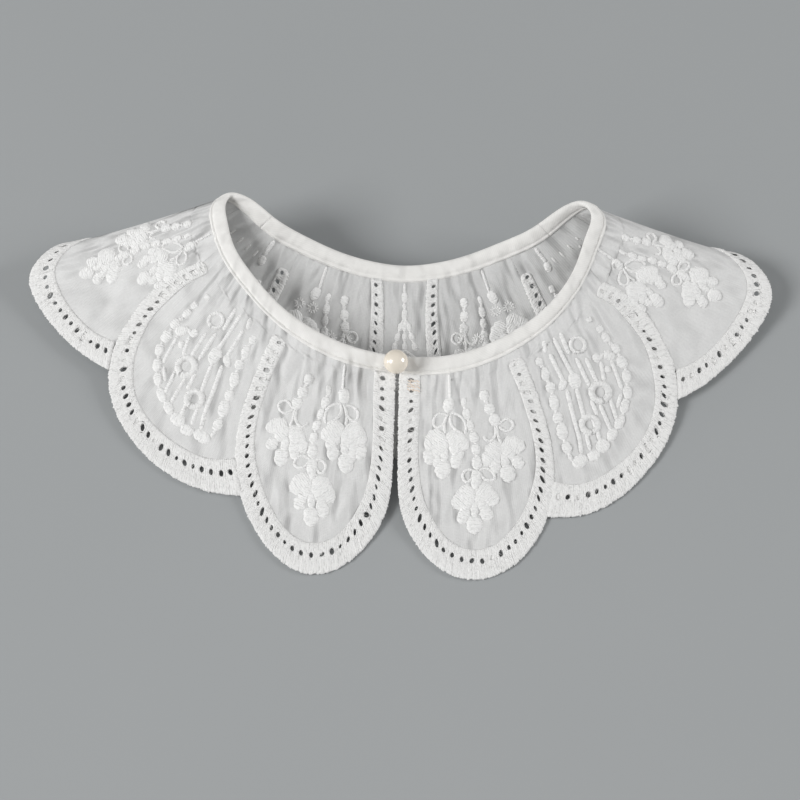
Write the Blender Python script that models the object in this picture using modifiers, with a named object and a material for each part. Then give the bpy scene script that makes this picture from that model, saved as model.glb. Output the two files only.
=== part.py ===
"""Lace collar: eleven embroidered petals on a bias-bound neckline, laid flat.

Every petal is drawn on the cloth in two pattern measures, both in millimetres:
  loop   distance round the neckline from the centre front, right side first
  reach  distance from the lower edge of the neck binding towards the hem
The station rows below say where the neckline and the hem lie on the table.
Front petals face up, back petals lie face down under them.
"""
import math

import bpy
import numpy as np
from mathutils import Matrix, Vector

MM = 0.001
LOOP = 418.0              # neckline from one centre-front end to the other
REACH = 88.0              # binding to hem at the station rows
CLOTH = 1.0               # wall of a petal panel
BORDER = 1.8              # wall of a stitched border band
SEAM = 0.3                # space left between neighbouring pieces
NECK_SEAM = 0.6           # where the petals start below the binding
SAG = 1.4                 # how quickly the cloth drops from the neckline
BIND_WIDE = 7.5           # bias binding, edge to edge
BIND_THICK = 2.6
BIND_END = 0.8            # each binding end stops this short of the centre front
BIND_JOIN = 144.0         # loop place of the join in the binding, behind the shoulder fold
PEARL_ACROSS = 10.0
SHANK_ACROSS = 1.6
SHANK_LONG = 1.4
LOOP_THREAD = 0.7
LOOP_ACROSS = 5.0
LEVEL = 0.9               # middle of the cloth where a border rests on the table
ORIGIN = (-0.28, 4.2)      # middle of the plan box, taken off at the end

# loop, neck x, neck y, neck z, hem x, hem y, hem z, reach at which it lies level
STATIONS = (
    (0.0, -0.6, 7.0, 17.0, -2.4, -79.0, 0.9, 74.0),
    (25.0, 23.0, 7.0, 18.5, 26.8, -78.0, 0.9, 74.0),
    (50.0, 47.0, 15.5, 22.0, 62.0, -66.0, 0.9, 76.0),
    (71.0, 64.0, 28.0, 25.5, 92.0, -41.0, 0.9, 80.0),
    (92.0, 77.0, 46.0, 29.0, 125.0, -5.0, 2.5, 86.0),
    (108.0, 84.0, 62.0, 32.0, 155.6, 38.0, 5.5, 92.0),
    (120.0, 86.0, 73.0, 34.0, 158.0, 58.8, 11.0, 100.0),
    (127.0, 81.8, 78.8, 33.0, 151.0, 69.0, 8.5, 104.0),
    (134.0, 75.0, 77.4, 30.5, 144.0, 60.0, 2.5, 92.0),
    (143.5, 64.5, 69.5, 26.5, 127.0, 31.0, 0.9, 70.0),
    (160.0, 49.0, 63.0, 20.0, 91.0, -5.0, 0.9, 60.0),
    (177.5, 32.0, 58.5, 15.0, 58.0, -20.0, 0.9, 56.0),
    (195.5, 15.5, 55.8, 12.0, 27.0, -28.0, 0.9, 54.0),
    (209.0, 2.0, 55.2, 11.0, 2.0, -31.0, 0.9, 54.0),
    (222.5, -11.5, 56.4, 12.0, -23.0, -28.0, 0.9, 54.0),
    (240.5, -28.5, 60.0, 15.0, -54.0, -19.0, 0.9, 56.0),
    (258.0, -45.0, 65.5, 20.0, -87.0, -3.0, 0.9, 60.0),
    (274.5, -60.0, 73.0, 27.0, -124.0, 34.0, 0.9, 70.0),
    (284.0, -69.3, 80.6, 31.0, -146.0, 64.5, 2.5, 92.0),
    (291.0, -76.0, 82.8, 33.5, -151.8, 74.0, 8.5, 104.0),
    (298.0, -79.6, 78.5, 34.0, -157.2, 67.0, 11.0, 100.0),
    (310.0, -79.3, 69.5, 32.3, -159.0, 51.6, 5.5, 92.0),
    (326.0, -74.5, 56.0, 29.8, -133.4, 10.0, 2.5, 86.0),
    (347.0, -63.8, 41.0, 25.8, -101.0, -28.0, 0.9, 80.0),
    (368.0, -49.2, 26.0, 22.5, -68.0, -57.0, 0.9, 76.0),
    (393.0, -25.5, 12.2, 19.0, -34.0, -76.0, 0.9, 74.0),
    (418.0, -1.6, 7.0, 17.0, -3.8, -78.0, 0.9, 74.0),
)

# Border bands, a row per section: outer loop, outer reach, inner loop, inner reach
FRONT_BAND = (
    (0.3, 0.6, 9.5, 0.6),
    (0.3, 14.0, 9.2, 14.0),
    (0.3, 28.0, 8.6, 28.0),
    (0.5, 42.0, 9.2, 41.5),
    (2.0, 56.0, 11.0, 51.5),
    (6.5, 67.5, 14.2, 59.5),
    (13.0, 77.3, 18.2, 66.8),
    (20.8, 84.4, 23.2, 71.8),
    (28.8, 87.3, 28.8, 74.2),
    (36.5, 85.8, 34.2, 73.4),
    (43.6, 80.6, 39.4, 69.4),
    (49.0, 73.0, 43.6, 63.8),
    (52.9, 64.0, 46.9, 57.4),
    (55.1, 54.0, 49.5, 50.0),
    (56.2, 42.0, 50.8, 40.0),
    (55.9, 28.0, 50.4, 28.0),
    (54.6, 15.0, 48.8, 15.0),
    (53.0, 5.5, 46.6, 5.5),
)
SIDE_BAND = (
    (96.3, 8.0, 91.0, 8.5),
    (98.2, 17.0, 93.4, 17.0),
    (98.5, 28.0, 94.0, 28.0),
    (97.8, 40.0, 93.5, 41.0),
    (96.2, 52.0, 91.8, 51.0),
    (94.5, 61.0, 89.6, 59.5),
    (92.3, 70.0, 87.0, 65.8),
    (89.2, 77.4, 84.0, 70.0),
    (85.0, 82.5, 80.2, 72.3),
    (79.5, 85.2, 76.3, 72.9),
    (74.0, 86.0, 72.5, 72.5),
    (68.5, 85.2, 68.5, 71.3),
    (63.2, 82.6, 64.5, 69.3),
    (58.3, 78.8, 60.7, 66.3),
    (54.2, 74.6, 57.6, 62.8),
    (50.5, 71.0, 54.7, 59.0),
)
SHOULDER_BAND = (
    (91.7, 73.6, 94.7, 63.5),
    (95.0, 78.2, 97.5, 68.3),
    (99.2, 82.4, 100.8, 71.5),
    (104.0, 85.2, 104.5, 73.2),
    (109.0, 86.5, 109.0, 74.0),
    (114.0, 86.8, 113.8, 74.2),
    (119.0, 86.0, 118.0, 73.5),
    (123.5, 83.8, 121.8, 71.5),
    (127.5, 80.0, 125.0, 68.3),
    (131.0, 75.0, 127.8, 64.0),
    (133.8, 68.0, 129.8, 58.0),
    (135.6, 60.0, 131.2, 50.5),
    (136.5, 50.0, 131.8, 43.0),
    (136.8, 38.0, 132.0, 35.0),
    (136.6, 26.0, 131.8, 25.0),
    (136.0, 15.0, 130.8, 15.0),
    (135.4, 8.0, 130.0, 8.0),
)
REAR_BAND = (
    (134.0, 70.6, 136.6, 60.5),
    (136.8, 75.5, 138.8, 65.0),
    (140.3, 79.6, 141.4, 68.2),
    (144.5, 82.0, 144.8, 70.0),
    (149.0, 82.8, 148.8, 70.6),
    (153.3, 81.6, 152.5, 69.6),
    (157.2, 78.2, 155.4, 66.8),
    (160.2, 72.8, 157.4, 62.5),
    (162.2, 65.0, 158.7, 56.0),
    (163.2, 55.0, 159.3, 48.0),
    (163.5, 43.0, 159.4, 40.0),
    (163.4, 31.0, 159.2, 30.0),
    (162.9, 20.0, 158.6, 20.0),
    (162.4, 8.5, 157.9, 8.5),
)
BACK_BAND = (
    (162.0, 69.5, 164.0, 59.5),
    (165.2, 75.5, 166.5, 64.7),
    (169.0, 80.5, 169.6, 68.8),
    (173.6, 83.8, 173.5, 71.3),
    (178.6, 85.0, 178.0, 72.2),
    (183.6, 84.0, 182.4, 71.4),
    (188.6, 80.5, 186.6, 68.7),
    (193.0, 75.0, 190.0, 64.2),
    (196.6, 68.0, 192.8, 58.2),
    (199.2, 59.5, 194.8, 51.3),
    (200.9, 49.0, 196.4, 43.0),
    (201.8, 37.0, 197.1, 35.0),
    (201.8, 24.0, 197.0, 24.0),
    (201.2, 13.0, 196.4, 13.0),
    (199.6, 0.6, 194.8, 0.6),
)
CENTRE_BAND = (
    (197.4, 70.2, 200.2, 60.0),
    (199.7, 74.6, 201.9, 64.0),
    (202.8, 78.2, 204.0, 66.8),
    (205.8, 80.0, 206.4, 68.4),
    (209.0, 80.6, 209.0, 69.0),
    (212.2, 80.0, 211.6, 68.4),
    (215.2, 78.2, 214.0, 66.8),
    (218.3, 74.6, 216.1, 64.0),
    (220.6, 70.2, 217.8, 60.0),
)

# Large soft folds: loop, reach, half length, half width, lean, height
# The lean is how far the fold drifts round the loop over its half length.
FOLDS = (
    (27.0, 34.0, 26.0, 11.0, 0.0, 1.5),
    (391.0, 34.0, 26.0, 11.0, 0.0, 1.5),
    (75.0, 40.0, 26.0, 11.0, 0.0, 1.4),
    (343.0, 40.0, 26.0, 11.0, 0.0, 1.4),
    (107.0, 45.0, 26.0, 7.0, 0.0, 1.2),
    (311.0, 45.0, 26.0, 7.0, 0.0, 1.2),
    (88.0, 30.0, 20.0, 4.0, 2.0, -0.8),
    (330.0, 30.0, 20.0, 4.0, -2.0, -0.8),
    (381.0, 9.0, 9.0, 2.2, -3.0, 0.8),
    (374.0, 12.0, 9.0, 2.0, -2.0, 0.7),
    (403.0, 62.0, 8.0, 3.0, -6.0, -0.8),
    (14.0, 24.0, 12.0, 3.0, 3.0, -0.7),
    (33.0, 16.0, 10.0, 3.0, 2.0, -0.6),
)


def bend(knots, values):
    """Second slopes of a smooth line through the station rows, free at both ends."""
    count = len(knots)
    step = np.diff(knots)
    left = np.zeros((count, count))
    right = np.zeros((count, values.shape[1]))
    left[0, 0] = 1.0
    left[-1, -1] = 1.0
    for i in range(1, count - 1):
        left[i, i - 1] = step[i - 1]
        left[i, i] = 2.0 * (step[i - 1] + step[i])
        left[i, i + 1] = step[i]
        rise = (values[i + 1] - values[i]) / step[i]
        right[i] = 6.0 * (rise - (values[i] - values[i - 1]) / step[i - 1])
    return np.linalg.solve(left, right)


ROWS = np.array(STATIONS)
KNOTS = ROWS[:, 0]
PLACES = ROWS[:, 1:]
SLOPES = bend(KNOTS, PLACES)


def station(loop):
    """Neck point, hem point and level reach at any place round the loop."""
    loop = np.atleast_1d(np.asarray(loop, float))
    i = np.clip(np.searchsorted(KNOTS, loop) - 1, 0, len(KNOTS) - 2)
    step = KNOTS[i + 1] - KNOTS[i]
    a = ((KNOTS[i + 1] - loop) / step)[:, None]
    b = ((loop - KNOTS[i]) / step)[:, None]
    curve = (a ** 3 - a) * SLOPES[i] + (b ** 3 - b) * SLOPES[i + 1]
    return a * PLACES[i] + b * PLACES[i + 1] + curve * (step ** 2 / 6.0)[:, None]


def fold_height(loop, reach):
    """The large soft folds, added to the height of the cloth."""
    high = np.zeros_like(loop)
    for at, down, half, wide, lean, height in FOLDS:
        along = (reach - down) / half
        across = (loop - at - lean * along) / wide
        high = high + height * np.exp(-(along ** 2 + across ** 2))
    return high


def cloth(loop, reach):
    """Middle of the cloth in millimetres at pattern places (loop, reach)."""
    loop, reach = np.broadcast_arrays(
        np.atleast_1d(np.asarray(loop, float)), np.asarray(reach, float))
    row = station(loop)
    part = (reach / REACH)[:, None]
    plan = row[:, 0:2] * (1.0 - part) + row[:, 3:5] * part
    drop = np.clip(1.0 - reach / row[:, 6], 0.0, None) ** SAG
    last = np.clip(1.0 - REACH / row[:, 6], 0.0, None) ** SAG
    high = row[:, 5] + (row[:, 2] - row[:, 5]) * (drop - last) / (1.0 - last)
    high = np.maximum(high + fold_height(loop, reach) - 0.1, LEVEL)
    return np.column_stack([plan, high])


def outward(loop, reach, step=0.4):
    """Direction of the embroidered face at pattern places."""
    loop, reach = np.broadcast_arrays(
        np.atleast_1d(np.asarray(loop, float)), np.asarray(reach, float))
    round_loop = cloth(loop + step, reach) - cloth(loop - step, reach)
    down = cloth(loop, reach + step) - cloth(loop, reach - step)
    face = np.cross(down, round_loop)
    return face / np.linalg.norm(face, axis=1)[:, None]


def trace(rows, start, stop, count):
    """Evenly spaced pattern points along a table line, from one row number to another."""
    rows = np.asarray(rows, float)
    place = cloth(rows[:, 0], rows[:, 1])
    gaps = np.linalg.norm(np.diff(place, axis=0), axis=1)
    length = np.concatenate([[0.0], np.cumsum(gaps)])
    slope = bend(length, rows)
    ends = np.interp([start, stop], np.arange(len(rows)), length)
    at = np.linspace(ends[0], ends[1], count)
    i = np.clip(np.searchsorted(length, at) - 1, 0, len(length) - 2)
    step = length[i + 1] - length[i]
    a = ((length[i + 1] - at) / step)[:, None]
    b = ((at - length[i]) / step)[:, None]
    curve = ((a ** 3 - a) * slope[i] + (b ** 3 - b) * slope[i + 1]) * (step ** 2 / 6.0)[:, None]
    return a * rows[i] + b * rows[i + 1] + curve


def beside(line, space, towards):
    """A pattern line moved sideways on the cloth by a true space, to the side of a point."""
    line = np.asarray(line, float)
    place = cloth(line[:, 0], line[:, 1])
    way = np.gradient(place, axis=0)
    side = np.cross(outward(line[:, 0], line[:, 1]), way)
    side = side / np.linalg.norm(side, axis=1)[:, None]
    middle = cloth(towards[0], towards[1])[0]
    if np.sum((middle - place) * side) < 0.0:
        side = -side
    along = cloth(line[:, 0] + 0.5, line[:, 1]) - cloth(line[:, 0] - 0.5, line[:, 1])
    down = cloth(line[:, 0], line[:, 1] + 0.5) - cloth(line[:, 0], line[:, 1] - 0.5)
    aa = np.sum(along * along, axis=1)
    ad = np.sum(along * down, axis=1)
    dd = np.sum(down * down, axis=1)
    pa = np.sum(along * side, axis=1) * space
    pd = np.sum(down * side, axis=1) * space
    whole = aa * dd - ad * ad
    return line + np.column_stack([(pa * dd - pd * ad) / whole, (pd * aa - pa * ad) / whole])


def evened(line, count):
    """A pattern line cut again into evenly spaced points."""
    line = np.asarray(line, float)
    place = cloth(line[:, 0], line[:, 1])
    gaps = np.linalg.norm(np.diff(place, axis=0), axis=1)
    length = np.concatenate([[0.0], np.cumsum(gaps)])
    at = np.linspace(0.0, length[-1], count)
    return np.column_stack([np.interp(at, length, line[:, 0]), np.interp(at, length, line[:, 1])])


collection = bpy.data.collections.new("lace_collar")
for thing in list(bpy.data.objects):
    bpy.data.objects.remove(thing)
bpy.context.scene.collection.children.link(collection)


def material(name, colour, rough):
    made = bpy.data.materials.new(name)
    made.use_nodes = True
    shader = made.node_tree.nodes["Principled BSDF"]
    shader.inputs["Base Color"].default_value = (*colour, 1.0)
    shader.inputs["Roughness"].default_value = rough
    return made


def sheet(name, grid, wall, colour, rough):
    """A panel of the given wall from a grid of millimetre points, Solidify on the sheet."""
    rows, columns, _ = grid.shape
    points = (grid.reshape(-1, 3) - np.array([ORIGIN[0], ORIGIN[1], 0.0])) * MM
    faces = []
    for r in range(rows - 1):
        for c in range(columns - 1):
            k = r * columns + c
            faces.append((k, k + 1, k + columns + 1, k + columns))
    mesh = bpy.data.meshes.new(name)
    mesh.from_pydata([tuple(p) for p in points], [], faces)
    mesh.materials.append(material(name, colour, rough))
    thing = bpy.data.objects.new(name, mesh)
    collection.objects.link(thing)
    for face in mesh.polygons:
        face.use_smooth = True
    thick = thing.modifiers.new("wall", "SOLIDIFY")
    thick.thickness = wall * MM
    thick.offset = 0.0
    thick.use_even_offset = False
    return thing


def other_side(rows):
    """The same rows for the left half of the collar."""
    return tuple(tuple(LOOP - v if k % 2 == 0 else v for k, v in enumerate(row)) for row in rows)


WHITE = (0.86, 0.85, 0.83)
STITCH = (0.90, 0.89, 0.87)


def band(name, rows, sections):
    """A stitched border: the band between its outer and inner lines."""
    last = len(rows) - 1
    outer = trace([row[0:2] for row in rows], 0, last, sections)
    inner = trace([row[2:4] for row in rows], 0, last, sections)
    grid = np.empty((sections, 3, 3))
    for k, share in enumerate((0.0, 0.5, 1.0)):
        line = outer * (1.0 - share) + inner * share
        grid[:, k] = cloth(line[:, 0], line[:, 1])
    return sheet(name, grid, BORDER, STITCH, 0.75)


def panel(name, first, second, downs=16, across=9):
    """A petal's cloth between two edges, each a short head at the neck and a long tail."""
    edges = []
    for head, tail in (first, second):
        edges.append(np.vstack([np.asarray(head, float), evened(tail, downs)]))
    grid = np.empty((len(edges[0]), across, 3))
    for k in range(across):
        share = k / (across - 1.0)
        line = edges[0] * (1.0 - share) + edges[1] * share
        grid[:, k] = cloth(line[:, 0], line[:, 1])
    return sheet(name, grid, CLOTH, WHITE, 0.85)


def head(loop, end):
    """Where a cloth edge starts: at the binding, then just above the end of a band."""
    return ((loop, NECK_SEAM), (loop, end - 0.8))


# name, band rows, sections, row that is the petal tip, middle of the petal
PETALS = (
    ("front", FRONT_BAND, 34, 8, (28.0, 40.0)),
    ("side", SIDE_BAND, 30, 10, (74.0, 40.0)),
    ("shoulder", SHOULDER_BAND, 44, 5, (113.0, 40.0)),
    ("rear", REAR_BAND, 24, 4, (148.0, 40.0)),
    ("back", BACK_BAND, 26, 4, (180.0, 40.0)),
    ("centre", CENTRE_BAND, 14, 4, (209.0, 40.0)),
)
# Upper neighbour's band edge beside each petal: row at the top, row at the notch
NOTCHES = {"side": (17, 12.75), "shoulder": (0, 5.1), "rear": (16, 11.1),
           "back": (13, 8.75), "centre": (14, 9.25)}
# Loop place where each band ends under the binding, and the reach of that end
BAND_ENDS = {"front": (52.4, 5.5), "side": (95.9, 8.0), "shoulder": (135.0, 8.0),
             "rear": (162.0, 8.5), "back": (194.5, 3.9)}


def petal_edges(number):
    """The two cloth edges of a petal on the right half of the collar."""
    name, rows, _, tip, middle = PETALS[number]
    before, after = tip - 0.25, tip + 0.25
    inner = [row[2:4] for row in rows]
    last = len(rows) - 1
    space = SEAM + (0.25 if name in ("shoulder", "rear") else 0.05)
    if number == 0:
        near = beside(trace(inner, 0, before, 80), space, middle)
        near_head = ((near[0][0], NECK_SEAM), (near[0][0], 4.7))
        near = beside(trace(inner, 0.4, before, 80), space, middle)
        far = beside(trace(inner, last, after, 80), space, middle)
        return (near_head, near), (head(*BAND_ENDS[name]), far)
    upper_name, upper = PETALS[number - 1][0:2]
    outer = [row[0:2] for row in upper]
    top, notch = NOTCHES[name]
    along = beside(trace(outer, top, notch, 50), space, middle)
    start, stop = (last, after) if name == "side" else (0, before)
    own = beside(trace(inner, start, stop, 50), space, middle)
    near = np.vstack([along, own])
    loop, end = BAND_ENDS[upper_name]
    if name == "centre":
        near_head = ((along[0][0], NECK_SEAM), (along[1][0], 1.6))
        return (near_head, near[3:]), (near_head, near[3:])
    near_head = ((loop + 0.5, NECK_SEAM), (loop + 0.5, end - 0.8))
    first, second = (0, before) if name == "side" else (last, after)
    far = beside(trace(inner, first, second, 80), space, middle)
    return (near_head, near), (head(*BAND_ENDS[name]), far)


def mirror_line(line):
    """The same pattern line on the left half."""
    line = np.asarray(line, float).copy()
    line[:, 0] = LOOP - line[:, 0]
    return line


for number, (name, rows, sections, tip, middle) in enumerate(PETALS):
    near, far = petal_edges(number)
    if name == "centre":
        other = (mirror_line(near[0]), mirror_line(near[1]))
        panel("centre_back_petal", near, other)
        band("centre_back_border", rows, sections)
        continue
    across = {"shoulder": 25, "rear": 11}.get(name, 9)
    downs = 24 if name == "shoulder" else 16
    panel(f"{name}_petal_right", near, far, downs, across)
    band(f"{name}_border_right", rows, sections)
    left = [(mirror_line(h), mirror_line(t)) for h, t in (near, far)]
    panel(f"{name}_petal_left", left[0], left[1], downs, across)
    flipped = [(LOOP - a, b, LOOP - c, d) for a, b, c, d in rows]
    band(f"{name}_border_left", flipped, sections)

# Neck binding: folded bias strips round the neckline, joined end to end behind the
# shoulders and open at the centre front
around = np.concatenate([np.linspace(BIND_END, 106.0, 26), np.linspace(110.0, BIND_JOIN, 20)])
behind = np.linspace(BIND_JOIN + 1.5 * SEAM, LOOP - BIND_JOIN - 1.5 * SEAM, 29)
STRIPS = (
    ("neck_binding_right", around),
    ("neck_binding_back", behind),
    ("neck_binding_left", LOOP - around[::-1]),
)
for name, places in STRIPS:
    strip = np.empty((len(places), 4, 3))
    for k, share in enumerate((0.0, 0.25, 0.75, 1.0)):
        strip[:, k] = cloth(places, np.full(len(places), -0.1 - BIND_WIDE * share))
    sheet(name, strip, BIND_THICK, (0.90, 0.87, 0.82), 0.7)

# Pearl button over the two binding ends, its thread shank and the loop round the shank
seat = cloth(0.4, -0.5 * BIND_WIDE)[0]
up = outward(0.4, -0.5 * BIND_WIDE)[0]
seat = np.array([-1.1, seat[1], seat[2]]) - np.array([ORIGIN[0], ORIGIN[1], 0.0])
turn = Vector((0.0, 0.0, 1.0)).rotation_difference(Vector(up)).to_matrix().to_4x4()
top = 0.5 * BIND_THICK


def from_profile(name, profile, steps, colour, rough):
    """A round piece turned from a profile of (radius, height) with the Screw modifier."""
    mesh = bpy.data.meshes.new(name)
    points = [(r * MM, 0.0, z * MM) for r, z in profile]
    mesh.from_pydata(points, [(k, k + 1) for k in range(len(points) - 1)], [])
    mesh.materials.append(material(name, colour, rough))
    thing = bpy.data.objects.new(name, mesh)
    collection.objects.link(thing)
    spin = thing.modifiers.new("turn", "SCREW")
    spin.axis = "Z"
    spin.steps = steps
    spin.render_steps = steps
    spin.use_merge_vertices = True
    spin.merge_threshold = 0.00001
    spin.use_normal_flip = True
    return thing


radius = 0.5 * PEARL_ACROSS
low = top + 0.2 + SHANK_LONG
ball = []
for k in range(13):
    angle = math.pi * (k / 12.0)
    ball.append((radius * math.sin(angle), low + radius - radius * math.cos(angle)))
ball[0] = (0.0, low)
ball[-1] = (0.0, low + 2.0 * radius)
pearl = from_profile("pearl_button", ball, 24, (0.93, 0.88, 0.80), 0.25)
pearl.matrix_world = Matrix.Translation(Vector(seat) * MM) @ turn
for face in pearl.data.polygons:
    face.use_smooth = True
half = 0.5 * SHANK_ACROSS
shank = from_profile("button_shank", [(0.0, top + 0.1), (half, top + 0.1),
                                      (half, low - 0.05), (0.0, low - 0.05)],
                     12, (0.90, 0.88, 0.84), 0.8)
shank.matrix_world = Matrix.Translation(Vector(seat) * MM) @ turn

spool = bpy.data.curves.new("button_loop", "CURVE")
spool.dimensions = "3D"
spool.bevel_depth = 0.5 * LOOP_THREAD * MM
spool.bevel_resolution = 2
spool.use_fill_caps = True
ring = spool.splines.new("POLY")
turns = 20
ring.points.add(turns - 1)
for k in range(turns):
    angle = 2.0 * math.pi * k / turns
    ring.points[k].co = (0.5 * LOOP_ACROSS * MM * (math.cos(angle) + 0.45),
                         0.32 * LOOP_ACROSS * MM * math.sin(angle),
                         (top + 0.8) * MM, 1.0)
ring.use_cyclic_u = True
spool.materials.append(material("button_loop", (0.90, 0.88, 0.84), 0.8))
band_loop = bpy.data.objects.new("button_loop", spool)
collection.objects.link(band_loop)
band_loop.matrix_world = Matrix.Translation(Vector(seat) * MM) @ turn
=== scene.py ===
"""Looks of the lace collar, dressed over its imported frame.

Everything lies on the same cloth as in the frame, drawn in two pattern measures in
millimetres: loop, round the neckline from the centre front, and reach, from the lower
edge of the neck binding towards the hem. Heights are measured from the middle of the cloth.
"""
import math

import bpy
import numpy as np
from mathutils import Matrix, Vector


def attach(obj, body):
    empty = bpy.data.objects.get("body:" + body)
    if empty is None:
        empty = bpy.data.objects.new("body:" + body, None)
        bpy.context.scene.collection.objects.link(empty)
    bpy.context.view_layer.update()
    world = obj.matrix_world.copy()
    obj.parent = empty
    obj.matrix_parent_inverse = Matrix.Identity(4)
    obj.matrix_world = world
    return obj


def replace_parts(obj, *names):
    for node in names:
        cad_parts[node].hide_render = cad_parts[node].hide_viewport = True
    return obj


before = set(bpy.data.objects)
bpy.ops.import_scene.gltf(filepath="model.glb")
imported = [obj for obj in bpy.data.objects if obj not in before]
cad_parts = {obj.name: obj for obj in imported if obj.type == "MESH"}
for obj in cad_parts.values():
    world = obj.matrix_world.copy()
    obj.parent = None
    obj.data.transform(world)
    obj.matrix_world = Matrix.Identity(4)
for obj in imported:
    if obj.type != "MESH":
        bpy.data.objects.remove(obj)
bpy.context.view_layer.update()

# Sizes in millimetres, the same as in the part's source
MM = 0.001
LOOP = 418.0              # length of the neckline
REACH = 88.0              # neckline to hem in the table of stations
SAG = 1.4                 # how hollow the cloth falls from neck to table
BIND_WIDE = 7.5
BIND_THICK = 2.6
BIND_END = 0.8            # from the centre front to each end of the binding
BIND_JOIN = 144.0         # from the centre front to the binding's joins
PEARL_ACROSS = 10.0
PEARL_X = -1.1
PEARL_LOOP = 0.4          # place of its shank along the loop
SHANK_ACROSS = 1.6
SHANK_LONG = 1.4
SHANK_TURNS = 4.0         # bulges of the wound thread
LEVEL = 0.9               # height of the cloth's middle where it lies on the table
ORIGIN = (-0.28, 4.2)     # where the frame's middle lies in the plan of the stations

# Sizes of the looks
LAWN = 0.26               # wall of the cotton lawn
TUCK = 0.7                # how far the lawn runs in under a stitched edge
PITCH = 4.1               # eyelet to eyelet along a border
STEPS = 8                 # mesh steps in one pitch
CREASE_DEPTH = 1.9        # depth of every crease, times its height in the table
FLAT_TROUGH = 0.45        # share of a trough that is left where the cloth lies level

# loop, neck x, neck y, neck z, hem x, hem y, hem z, reach at which it lies level
STATIONS = (
    (0.0, -0.6, 7.0, 17.0, -2.4, -79.0, 0.9, 74.0),
    (25.0, 23.0, 7.0, 18.5, 26.8, -78.0, 0.9, 74.0),
    (50.0, 47.0, 15.5, 22.0, 62.0, -66.0, 0.9, 76.0),
    (71.0, 64.0, 28.0, 25.5, 92.0, -41.0, 0.9, 80.0),
    (92.0, 77.0, 46.0, 29.0, 125.0, -5.0, 2.5, 86.0),
    (108.0, 84.0, 62.0, 32.0, 155.6, 38.0, 5.5, 92.0),
    (120.0, 86.0, 73.0, 34.0, 158.0, 58.8, 11.0, 100.0),
    (127.0, 81.8, 78.8, 33.0, 151.0, 69.0, 8.5, 104.0),
    (134.0, 75.0, 77.4, 30.5, 144.0, 60.0, 2.5, 92.0),
    (143.5, 64.5, 69.5, 26.5, 127.0, 31.0, 0.9, 70.0),
    (160.0, 49.0, 63.0, 20.0, 91.0, -5.0, 0.9, 60.0),
    (177.5, 32.0, 58.5, 15.0, 58.0, -20.0, 0.9, 56.0),
    (195.5, 15.5, 55.8, 12.0, 27.0, -28.0, 0.9, 54.0),
    (209.0, 2.0, 55.2, 11.0, 2.0, -31.0, 0.9, 54.0),
    (222.5, -11.5, 56.4, 12.0, -23.0, -28.0, 0.9, 54.0),
    (240.5, -28.5, 60.0, 15.0, -54.0, -19.0, 0.9, 56.0),
    (258.0, -45.0, 65.5, 20.0, -87.0, -3.0, 0.9, 60.0),
    (274.5, -60.0, 73.0, 27.0, -124.0, 34.0, 0.9, 70.0),
    (284.0, -69.3, 80.6, 31.0, -146.0, 64.5, 2.5, 92.0),
    (291.0, -76.0, 82.8, 33.5, -151.8, 74.0, 8.5, 104.0),
    (298.0, -79.6, 78.5, 34.0, -157.2, 67.0, 11.0, 100.0),
    (310.0, -79.3, 69.5, 32.3, -159.0, 51.6, 5.5, 92.0),
    (326.0, -74.5, 56.0, 29.8, -133.4, 10.0, 2.5, 86.0),
    (347.0, -63.8, 41.0, 25.8, -101.0, -28.0, 0.9, 80.0),
    (368.0, -49.2, 26.0, 22.5, -68.0, -57.0, 0.9, 76.0),
    (393.0, -25.5, 12.2, 19.0, -34.0, -76.0, 0.9, 74.0),
    (418.0, -1.6, 7.0, 17.0, -3.8, -78.0, 0.9, 74.0),
)

# Border bands, a row per section: outer loop, outer reach, inner loop, inner reach
FRONT_BAND = (
    (0.3, 0.6, 9.5, 0.6),
    (0.3, 14.0, 9.2, 14.0),
    (0.3, 28.0, 8.6, 28.0),
    (0.5, 42.0, 9.2, 41.5),
    (2.0, 56.0, 11.0, 51.5),
    (6.5, 67.5, 14.2, 59.5),
    (13.0, 77.3, 18.2, 66.8),
    (20.8, 84.4, 23.2, 71.8),
    (28.8, 87.3, 28.8, 74.2),
    (36.5, 85.8, 34.2, 73.4),
    (43.6, 80.6, 39.4, 69.4),
    (49.0, 73.0, 43.6, 63.8),
    (52.9, 64.0, 46.9, 57.4),
    (55.1, 54.0, 49.5, 50.0),
    (56.2, 42.0, 50.8, 40.0),
    (55.9, 28.0, 50.4, 28.0),
    (54.6, 15.0, 48.8, 15.0),
    (52.6, 3.4, 46.2, 3.4),
)
SIDE_BAND = (
    (96.3, 8.0, 91.0, 8.5),
    (98.2, 17.0, 93.4, 17.0),
    (98.5, 28.0, 94.0, 28.0),
    (97.8, 40.0, 93.5, 41.0),
    (96.2, 52.0, 91.8, 51.0),
    (94.5, 61.0, 89.6, 59.5),
    (92.3, 70.0, 87.0, 65.8),
    (89.2, 77.4, 84.0, 70.0),
    (85.0, 82.5, 80.2, 72.3),
    (79.5, 85.2, 76.3, 72.9),
    (74.0, 86.0, 72.5, 72.5),
    (68.5, 85.2, 68.5, 71.3),
    (63.2, 82.6, 64.5, 69.3),
    (58.3, 78.8, 60.7, 66.3),
    (54.2, 74.6, 57.6, 62.8),
    (50.5, 71.0, 54.7, 59.0),
)
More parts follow.
